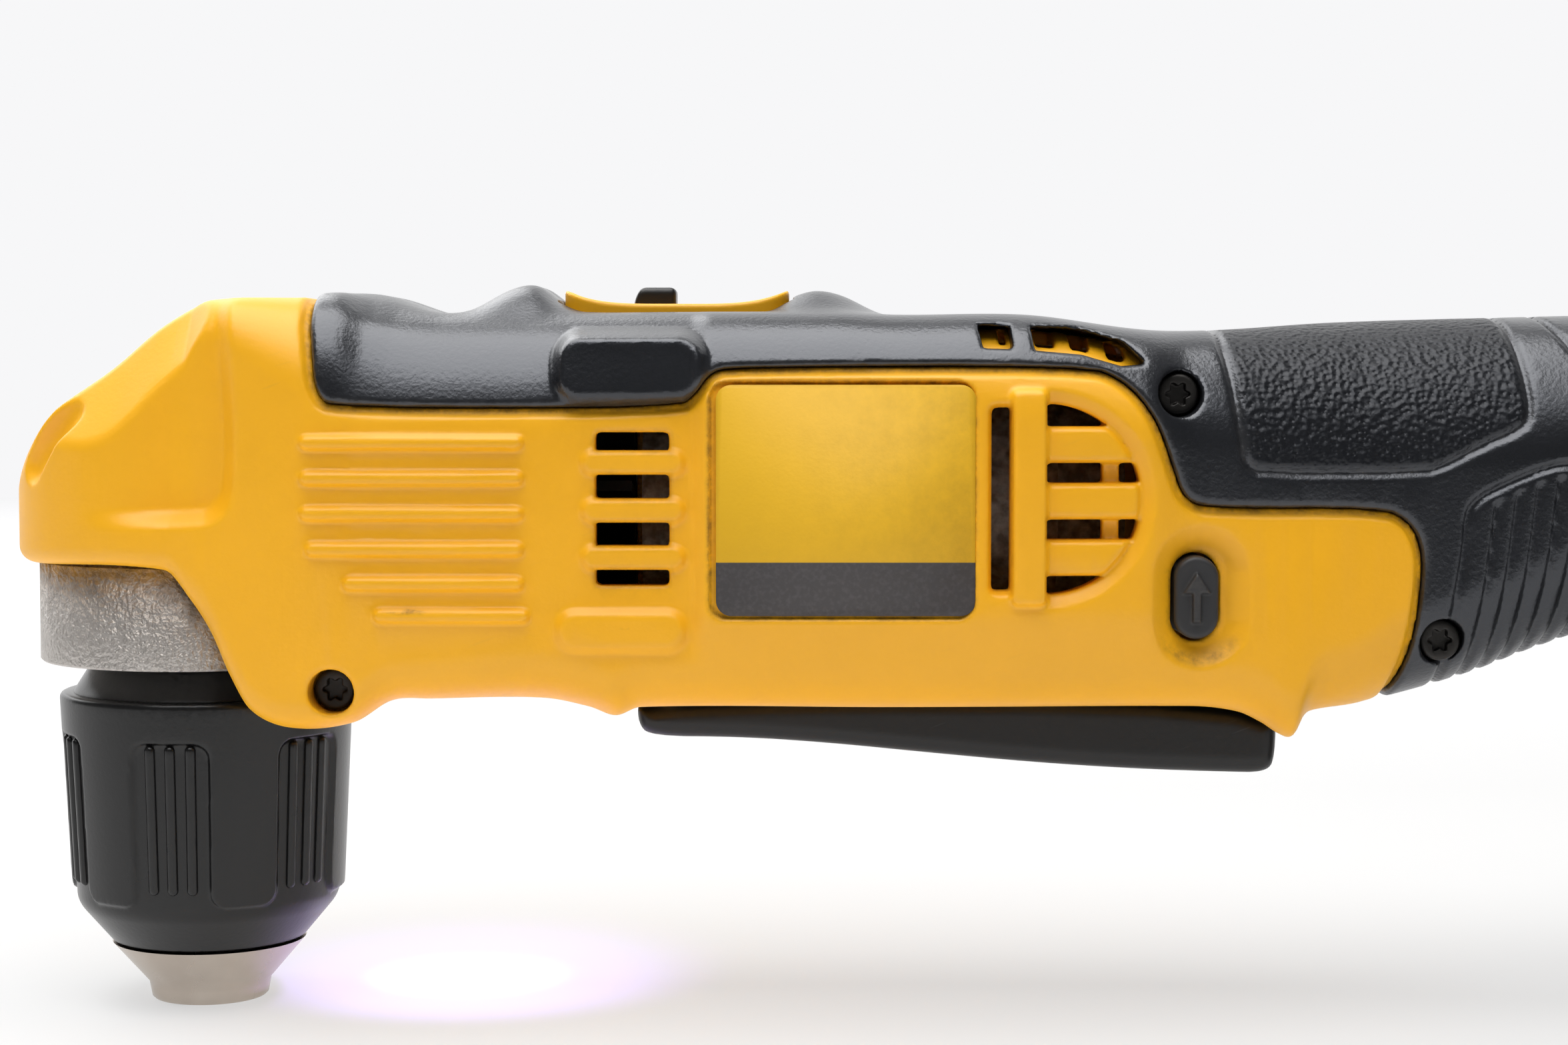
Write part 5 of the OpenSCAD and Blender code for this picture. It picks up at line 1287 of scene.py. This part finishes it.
def bake_copies(nodes, end, shape, points, turn, material, mesh, base, **values):
    """Sets copies of a mesh on the tree's points and turns the result into one plain mesh."""
    source = nodes.add("GeometryNodeObjectInfo", {"Object": shape})
    copies = nodes.add("GeometryNodeInstanceOnPoints", {
        "Points": points, "Instance": source.outputs["Geometry"], "Rotation": turn})
    realized = nodes.add("GeometryNodeRealizeInstances", {0: copies.outputs[0]})
    final = nodes.add("GeometryNodeSetMaterial", {"Geometry": realized.outputs[0], "Material": material})
    nodes.set(end, {0: final.outputs[0]})
    carrier = bpy.data.objects.new("carrier", base)
    bpy.context.collection.objects.link(carrier)
    values["Shape"] = bpy.data.objects.new("shape", mesh)
    modifier = carrier.modifiers.new("Copies", "NODES")
    modifier.node_group = nodes.tree
    sockets = {i.name: i.identifier for i in nodes.tree.interface.items_tree if i.in_out == "INPUT"}
    for key, value in values.items():
        modifier[sockets[key.replace("_", " ")]] = value
    result = plain_mesh(carrier)
    bpy.data.objects.remove(values["Shape"])
    return result


def rib_mesh():
    """One upright round-ended rib of the sleeve's grip panels, leaning with the sleeve."""
    foot, head = SLEEVE_RIB_FOOT_Z, SLEEVE_PANEL_TOP_Z - 0.2
    grid = Grid((16.0, -1.5, foot - 1), (21.0, 1.5, head + 1), 0.22)
    across = flat_box(grid.y, grid.z, (-SLEEVE_RIB_HALF_W, foot), (SLEEVE_RIB_HALF_W, head), 0.72)
    skin = grid.x - sleeve_radius(grid.z) + SLEEVE_RIB_SINK
    root = sleeve_radius(grid.z) - SLEEVE_PANEL_DEPTH - SLEEVE_RIB_ROOT - grid.x
    return trim_mesh(mesh_from_field("rib", grid, np.maximum(round_max(across, skin, 0.65), root)), 1500)


def sleeve_ribs():
    """The ribs of all grip panels, turned round the chuck axis."""
    inputs = (("Panels", "NodeSocketInt", SLEEVE_PANELS), ("Ribs", "NodeSocketInt", SLEEVE_RIBS),
              ("Rib pitch", "NodeSocketFloat", 0.14), ("Turn", "NodeSocketFloat", 0.0))
    nodes, start, end = geometry_tree("Sleeve ribs", inputs)
    count = nodes.math("MULTIPLY", start["Panels"], start["Ribs"])
    points = nodes.add("GeometryNodePoints", {"Count": count}).outputs[0]
    index = nodes.add("GeometryNodeInputIndex").outputs[0]
    panel = nodes.math("FLOOR", nodes.math("DIVIDE", index, start["Ribs"]))
    place = nodes.math("MODULO", index, start["Ribs"])
    middle = nodes.math("DIVIDE", nodes.math("SUBTRACT", start["Ribs"], 1.0), 2.0)
    offset = nodes.math("MULTIPLY", nodes.math("SUBTRACT", place, middle), start["Rib pitch"])
    step = nodes.math("DIVIDE", 2 * pi, start["Panels"])
    angle = nodes.math("ADD", nodes.math("ADD", nodes.math("MULTIPLY", panel, step), offset), start["Turn"])
    turn = nodes.add("ShaderNodeCombineXYZ", {"Z": angle}).outputs[0]
    base = bpy.data.meshes.new("empty")
    pitch = SLEEVE_RIB_PITCH / SLEEVE_PROFILE[1][0]
    return bake_copies(nodes, end, start["Shape"], points, turn, MATERIALS["sleeve_plastic"],
                       rib_mesh(), base, Rib_pitch=pitch, Turn=SLEEVE_TURN)


def screw_mesh():
    """One pan-head screw along +X with a six-lobed recess in its head, seated at the origin."""
    grid = Grid((-9.0, -3.6, -3.6), (2.2, 3.6, 3.6), 0.16)
    radius = np.hypot(grid.y, grid.z)
    turn = np.arctan2(grid.z, grid.y)
    head = round_max(radius - SCREW_HEAD_R, np.maximum(grid.x - SCREW_HEAD_T, -grid.x), 0.5)
    lobes = SCREW_LOBE_RISE * np.cos(SCREW_LOBES * turn)
    recess = np.maximum(radius - SCREW_RECESS_R - lobes, SCREW_RECESS_FOOT - grid.x)
    shank = np.maximum(radius - SCREW_SHANK_R, np.abs(grid.x + SCREW_SHANK_MIDDLE) - SCREW_SHANK_HALF_L)
    return trim_mesh(mesh_from_field("screw", grid, np.minimum(np.maximum(head, -recess), shank)), 4000)


def set_screws(name, places, turn):
    """Screws at the given places, all turned alike, as one mesh."""
    seats = bpy.data.meshes.new("seats")
    seats.from_pydata([tuple(MM * c for c in p) for p in places], [], [])
    nodes, start, end = geometry_tree(name, (("Turn", "NodeSocketVector", (0.0, 0.0, 0.0)),))
    return bake_copies(nodes, end, start["Shape"], start["Geometry"], start["Turn"], MATERIALS["gear_steel"],
                       screw_mesh(), seats, Turn=turn)


class DRILL_OT_screws(bpy.types.Operator):
    """Set the housing screws in their wells and the pack's screws in its cover"""

    bl_idname = "drill.screws"
    bl_label = "Screws"

    def execute(self, context):
        places = []
        for s in SCREW_SHARES:
            seat = SCREW_SEAT * BODY_HALF_W * float(smooth_curve(WIDTH_SHARES, np.array(s[0])))
            places.append((s[0] * BODY_L, -seat, s[1] * HEAD_H))
        mesh = set_screws("housing_screws", places, (0.0, 0.0, -pi / 2))
        # The housing screws take a darker copy of the screw steel: painted shade deep in their wells.
        finish_piece("screws.housing", mesh, "body", "gear_steel", ["housing_screws"], "dark_steel")
        low, high = node_box("battery_screws")
        inset = (high[2] - low[2] - (PACK_HIGH[2] - PACK_LOW[2]) + 2 * PACK_ROUND) / 2
        across, up = ((low[i] + inset, high[i] - inset) for i in (1, 2))
        places = [(low[0], y, z) for y in across for z in up]
        mesh = set_screws("battery_screws", places, (0.0, 0.0, 0.0))
        finish_piece("screws.battery", mesh, "battery", "gear_steel", ["battery_screws"])
        return {"FINISHED"}


PACK_LOW = node_box("battery_case")[0]
PACK_HIGH = node_box("battery_cover")[1]
PACK_SPLIT_X = node_box("battery_case")[1][0]
PACK_ROUND = 6.0
PACK_WALL = 3.0
PACK_SCREW_R = 3.3
PACK_SCREW_DEPTH = 3.0
# Finger bars on the pack's sides and slats on its rear: number, first place, pitch and size
PACK_BARS = 7
PACK_BAR_Z = 30.0
PACK_BAR_PITCH = 5.0
PACK_BAR_T = 2.2
PACK_BAR_RISE = 0.9
PACK_SLATS = 7
PACK_SLAT_PITCH = 8.3
PACK_SLAT_HALF_W = 1.4
PACK_SLAT_RISE = 0.5
PACK_SLAT_Z = (28.0, 84.0)
PACK_WAIST_Z = (26.0, 66.0)
PACK_WAIST_DEPTH = 1.2
PACK_REAR_ROUND = 4.0
PACK_SEAM_DEPTH = 0.35
PACK_SEAM_HALF_W = 0.3
PACK_NECK_HALF_W = 20.0
# Rail side of the pack: its depth before the cells, the rail's flange and the room for the terminals
PACK_RAIL_T = 18.0
RAIL_FLANGE_T = 4.0
TERMINAL_ROOM = 3.5
# Pocket of the release button, below and above it, and the grooves of the button
RELEASE_DROP = 4
RELEASE_TRAVEL = 3
RELEASE_GROOVE_PITCH = 3.2
RELEASE_GROOVE_HALF_W = 0.4
RELEASE_GROOVE_DEPTH = 0.4


def pack_outer(grid):
    """Field of the whole pack: round long edges, soft rear edges, finger bars, slats and the seam."""
    across = flat_box(grid.y, grid.z, PACK_LOW[1:], PACK_HIGH[1:], PACK_ROUND)
    relief = 0.0
    for i in range(PACK_BARS):
        foot = PACK_BAR_Z + PACK_BAR_PITCH * i
        bar = flat_box(grid.x, grid.z, (PACK_SPLIT_X + 4, foot), (PACK_HIGH[0] - 5, foot + PACK_BAR_T), 1.0)
        relief = relief + PACK_BAR_RISE * smooth_step(bar, 1.0)
    foot, head = PACK_WAIST_Z
    waist = flat_box(grid.x, grid.z, (PACK_SPLIT_X + 2, foot), (PACK_HIGH[0] - 3, head), 3.0)
    across = across + PACK_WAIST_DEPTH * smooth_step(waist, 1.6) - relief
    rear = grid.x - PACK_HIGH[0] + PACK_SLAT_RISE
    for i in range(PACK_SLATS):
        y = PACK_SLAT_PITCH * (i - PACK_SLATS // 2)
        slat = flat_box(grid.y, grid.z, (y - PACK_SLAT_HALF_W, PACK_SLAT_Z[0]),
                        (y + PACK_SLAT_HALF_W, PACK_SLAT_Z[1]), 1.3)
        rear = rear - PACK_SLAT_RISE * smooth_step(slat, 0.9)
    pack = np.maximum(round_max(across, rear, PACK_REAR_ROUND), PACK_LOW[0] - grid.x)
    return pack + PACK_SEAM_DEPTH * smooth_step(np.abs(grid.x - PACK_SPLIT_X) - PACK_SEAM_HALF_W, 0.5)


def pack_case(grid, pack):
    """Field of the rail side of the pack: slots for the tool's rail and a pocket for the release button."""
    gap = 0.3
    rail_low, rail_high = node_box("battery_rail")
    flange_x = rail_high[0] - RAIL_FLANGE_T
    slots = (
        (0, flange_x + gap, PACK_NECK_HALF_W + gap),
        (flange_x - gap, rail_high[0] + gap, rail_high[1] + gap),
        (flange_x, rail_high[0] + TERMINAL_ROOM, PACK_NECK_HALF_W),
    )
    case = np.maximum(pack, grid.x - PACK_SPLIT_X)
    for front, rear, half_w in slots:
        slot = box_field(grid, (front, -half_w, rail_low[2] - gap), (rear, half_w, 2 * PACK_HIGH[2]))
        case = round_max(case, -slot, EDGE_R)
    low, high = node_box("battery_release")
    pocket = box_field(grid, low - gap - np.array((0, 0, RELEASE_DROP)),
                       high + np.array((gap, gap, RELEASE_TRAVEL + gap)))
    return round_max(case, -pocket, EDGE_R)


def pack_cover(grid, pack):
    """Field of the outer side of the pack, with a well for each of its screws."""
    half_h = PACK_HIGH[2] / 2
    across = np.abs(grid.y) - (PACK_HIGH[1] - PACK_ROUND)
    up = np.abs(grid.z - half_h) - half_h + PACK_ROUND
    wells = np.maximum(np.hypot(across, up) - PACK_SCREW_R, PACK_HIGH[0] - PACK_SCREW_DEPTH - grid.x)
    return round_max(np.maximum(pack, PACK_SPLIT_X + 0.05 - grid.x), -wells, EDGE_R)


def build_release(step):
    """Release button with finger grooves on its lower side."""
    low, high, grid = node_grid("battery_release", step)
    plan = flat_box(grid.x, grid.y, low[:2], high[:2], 1.5)
    knob = round_max(plan, np.abs(grid.z - (low[2] + high[2]) / 2) - (high[2] - low[2]) / 2, 0.8)
    lines = np.abs(grid.y % RELEASE_GROOVE_PITCH - RELEASE_GROOVE_PITCH / 2) - RELEASE_GROOVE_HALF_W
    grooves = RELEASE_GROOVE_DEPTH * smooth_step(lines, 0.6)
    knob = knob + grooves * smooth_step(grid.z - low[2] - 1.0, 0.6)
    field_piece("pack.release", grid, knob, "release", "yellow_plastic", ["battery_release"], limit=60000)


class DRILL_OT_battery(bpy.types.Operator):
    """Build the battery pack: rail side, outer cover and release button"""

    bl_idname = "drill.battery"
    bl_label = "Battery Pack"

    def execute(self, context):
        look = context.scene.drill_look
        grid = Grid(PACK_LOW - 1, PACK_HIGH + 1, 1.15 * look.shell_step)
        room = box_field(grid, PACK_LOW + PACK_WALL + np.array((PACK_RAIL_T, 0, 0)), PACK_HIGH - PACK_WALL)
        pack = np.maximum(pack_outer(grid), -room)
        case = pack_case(grid, pack)
        field_piece("pack.case", grid, case, "battery", "black_plastic", ["battery_case"], limit=110000)
        cover = pack_cover(grid, pack)
        field_piece("pack.cover", grid, cover, "battery", "black_plastic", ["battery_cover"], limit=110000)
        build_release(look.small_step)
        return {"FINISHED"}


# CAD nodes that are kept as they are, by the finish that they get
KEPT_NODES = {
    "gear_steel": ("fixed_ring_gear", "bevel_gear", "chuck_screw", "chuck_nut", "pinion_shaft", "sun_carrier",
                   "low_planet_1", "low_planet_2", "low_planet_3", "high_planet_1", "high_planet_2",
                   "high_planet_3", "shift_yoke", "shift_ring"),
    "bright_steel": ("lower_bearing", "upper_bearing", "pinion_bearing", "motor_bearing", "trigger_pin",
                     "motor_shaft"),
    "copper": ("motor_brushes", "armature", "commutator", "tool_terminals"),
    "ferrite": ("motor_magnets",),
    "dusty_can": ("motor_end_cap",),
    "black_plastic": ("switch_module", "cooling_fan", "battery_rail"),
    "cast_alloy": ("gear_case_cover",),
    "board": ("led_board",),
    "cell_wrap": ("battery_cells",),
}


def collar_darkening(x, _, z):
    """Darker on the collar towards the housing and along the line where the housing meets it."""
    edge = smooth_curve(BOTTOM_SHARES, x / BODY_L) * HEAD_H
    front = 0.9 * smooth_step(-3.0 - x, 9.0) * smooth_step(edge - z - 5, 9.0)
    return np.maximum(front, 0.5 * near(z - FLANGE_Z, 1.0))


class DRILL_OT_inner_pieces(bpy.types.Operator):
    """Finish the pieces that keep their CAD shape: gear case, chuck core, motor and gears"""

    bl_idname = "drill.inner_pieces"
    bl_label = "Chuck Core, Gear Case and Motor"

    def execute(self, context):
        dress_copy("gear_case", "body", "cast_alloy", dirt_and_shade=collar_darkening)
        dress_copy("chuck_body", "chuck", "bright_steel")
        dress_copy("spindle", "chuck", "bright_steel")
        dress_copy("chuck_rear_cap", "sleeve", "black_plastic", "sleeve_plastic")
        dress_copy("motor_can", "body", "bright_steel", "dusty_can")
        dress_copy("led_lens", "body", "lamp_lens")
        for i in (1, 2, 3):
            dress_copy(f"jaw_{i}", f"jaw_{i}", "gear_steel")
        for finish, nodes in KEPT_NODES.items():
            for node in nodes:
                slots = frame["nodes"][node].data.materials
                if len(slots) == 0:
                    slots.append(MATERIALS[finish])
                for i in range(len(slots)):
                    slots[i] = MATERIALS[finish]
        return {"FINISHED"}


# Soft lights: name, place, aim, size, share of the key light's power and colour
SOFT_LIGHTS = (
    ("key", (0.0, -0.12, 1.0), (0.08, -0.12, 0.06), (1.1, 1.0), 1.0, (1.0, 0.99, 0.98)),
    ("strip", (0.08, -0.75, 0.95), (0.08, 0.0, 0.07), (1.3, 0.28), 0.14, (0.97, 0.98, 1.0)),
    ("rim", (-0.6, 0.7, 0.8), (0.0, 0.0, 0.08), (1.2, 0.8), 0.40, (1.0, 1.0, 1.0)),
)
# Light of the drill's own lamp, from its lens to the floor: name, share of its power, colour and angle
LAMP_CONES = (
    ("work_lamp", 1.8, (0.90, 0.86, 1.0), 40),
    ("work_lamp_halo", 2.2, (0.50, 0.33, 1.0), 84),
)
LAMP_AIM = (0.0345, 0.012, 0.0)
LAMP_DROP = 1.0
SKY_STRENGTH = 0.11
FLOOR_LIFT = 0.56
FLOOR_FAR_LIFT = 0.7
FLOOR_FADE_Y = (0.2, 1.5)
FLOOR_GAP = 0.0003
CAMERA_PLACE = (0.0802, -0.394, 0.0873)
CAMERA_PITCH = 3.1
CAMERA_SENSOR_W = 36.0


def add_light(name, kind, place, aim, power, colour, **settings):
    """Light of a kind that looks from its place to its aim."""
    light = bpy.data.lights.new(name, kind)
    light.energy = power
    light.color = colour
    for key, value in settings.items():
        setattr(light, key, value)
    lamp = bpy.data.objects.new(name, light)
    lamp.location = place
    lamp.rotation_euler = (Vector(aim) - Vector(place)).to_track_quat("-Z", "Y").to_euler()
    bpy.context.collection.objects.link(lamp)


def cove_mesh():
    """Floor that sweeps up into a backdrop."""
    front, back, radius, height, half_w = -0.34, 1.6, 0.9, 3.0, 4.0
    profile = [(front, 0.0), (back, 0.0)]
    profile += [(back + radius * sin(a), radius - radius * cos(a)) for a in np.linspace(0, pi / 2, 24)[1:]]
    profile.append((back + radius, height))
    points = [(x, y, z - FLOOR_GAP) for y, z in profile for x in (-half_w, half_w)]
    faces = [(2 * i, 2 * i + 1, 2 * i + 3, 2 * i + 2) for i in range(len(profile) - 1)]
    mesh = bpy.data.meshes.new("floor")
    mesh.from_pydata(points, [], faces)
    mesh.shade_smooth()
    return mesh


def floor_material():
    """Matt white floor that is lifted to white for the camera and keeps the shadow."""
    material = bpy.data.materials.new("floor")
    material.use_nodes = True
    nodes = Nodes(material.node_tree)
    shader = material.node_tree.nodes["Principled BSDF"]
    path = nodes.add("ShaderNodeLightPath").outputs
    seen = nodes.math("MAXIMUM", path["Is Camera Ray"], path["Is Glossy Ray"])
    seen = nodes.math("MAXIMUM", seen, path["Is Transmission Ray"])
    away = nodes.ramp(nodes.add("ShaderNodeSeparateXYZ", {0: nodes.place()}).outputs["Y"], *FLOOR_FADE_Y)
    lift = nodes.math("ADD", FLOOR_LIFT, nodes.math("MULTIPLY", away, FLOOR_FAR_LIFT))
    nodes.set(shader, {
        "Base Color": nodes.mix(seen, (0.93, 0.93, 0.93, 1.0), (0.30, 0.30, 0.30, 1.0)),
        "Roughness": 0.9,
        "Specular IOR Level": 0.1,
        "Emission Color": (1.0, 1.0, 1.0, 1.0),
        "Emission Strength": nodes.math("MULTIPLY", seen, lift)})
    plain = nodes.add("ShaderNodeEmission", {"Color": (0.93, 0.93, 0.94, 1.0)}).outputs[0]
    far = nodes.math("MULTIPLY", path["Is Camera Ray"], away)
    both = nodes.add("ShaderNodeMixShader", {0: far, 1: shader.outputs[0], 2: plain}).outputs[0]
    nodes.set(material.node_tree.nodes["Material Output"], {"Surface": both})
    return material


class DRILL_OT_stage(bpy.types.Operator):
    """Set the white floor, the soft light and the camera"""

    bl_idname = "drill.stage"
    bl_label = "Floor, Light and Camera"

    def execute(self, context):
        stage = context.scene.drill_stage
        floor = bpy.data.objects.new("floor", cove_mesh())
        floor.data.materials.append(floor_material())
        bpy.context.collection.objects.link(floor)
        for name, place, aim, size, share, colour in SOFT_LIGHTS:
            add_light(name, "AREA", place, aim, share * stage.key_power, colour,
                      shape="RECTANGLE", size=size[0], size_y=size[1])
        lens_x, _, _ = node_middle("led_lens")
        place = (lens_x * MM, 0.0, (node_box("led_lens")[0][2] - LAMP_DROP) * MM)
        for name, share, colour, angle in LAMP_CONES:
            add_light(name, "SPOT", place, LAMP_AIM, share * stage.lamp_power, colour,
                      spot_size=radians(angle), spot_blend=0.7, shadow_soft_size=0.002)
        world = context.scene.world or bpy.data.worlds.new("World")
        context.scene.world = world
        world.use_nodes = True
        sky = world.node_tree.nodes["Background"]
        sky.inputs["Color"].default_value = (1.0, 1.0, 1.0, 1.0)
        sky.inputs["Strength"].default_value = SKY_STRENGTH
        view = bpy.data.cameras.new("camera")
        view.lens = stage.lens
        view.sensor_width = CAMERA_SENSOR_W
        camera = bpy.data.objects.new("camera", view)
        camera.location = CAMERA_PLACE
        camera.rotation_euler = (radians(90 - CAMERA_PITCH), 0.0, 0.0)
        bpy.context.collection.objects.link(camera)
        context.scene.camera = camera
        context.scene.view_settings.view_transform = "Standard"
        return {"FINISHED"}


class DRILL_PT_panel(bpy.types.Panel):
    """Drill pieces and finishes"""

    bl_idname = "DRILL_PT_panel"
    bl_label = "Right Angle Drill"
    bl_space_type = "VIEW_3D"
    bl_region_type = "UI"
    bl_category = "Drill"

    def draw(self, context):
        for group in (context.scene.drill_look, context.scene.drill_stage):
            for key in group.bl_rna.properties.keys():
                if key not in ("name", "rna_type"):
                    self.layout.prop(group, key)
        for operator in OPERATORS:
            self.layout.operator(operator.bl_idname)


OPERATORS = (
    DRILL_OT_shells, DRILL_OT_label, DRILL_OT_trigger, DRILL_OT_controls, DRILL_OT_sleeve, DRILL_OT_screws,
    DRILL_OT_battery, DRILL_OT_inner_pieces, DRILL_OT_stage,
)
CLASSES = (DrillLook, DrillStage, *OPERATORS, DRILL_PT_panel)


def register():
    for cls in CLASSES:
        bpy.utils.register_class(cls)
    bpy.types.Scene.drill_look = PointerProperty(type=DrillLook)
    bpy.types.Scene.drill_stage = PointerProperty(type=DrillStage)


def unregister():
    del bpy.types.Scene.drill_stage
    del bpy.types.Scene.drill_look
    for cls in reversed(CLASSES):
        bpy.utils.unregister_class(cls)


def main():
    """Builds every piece in order."""
    register()
    bpy.ops.drill.shells()
    bpy.ops.drill.label()
    bpy.ops.drill.trigger()
    bpy.ops.drill.controls()
    bpy.ops.drill.sleeve()
    bpy.ops.drill.screws()
    bpy.ops.drill.battery()
    bpy.ops.drill.inner_pieces()
    bpy.ops.drill.stage()


if __name__ == "__main__":
    main()
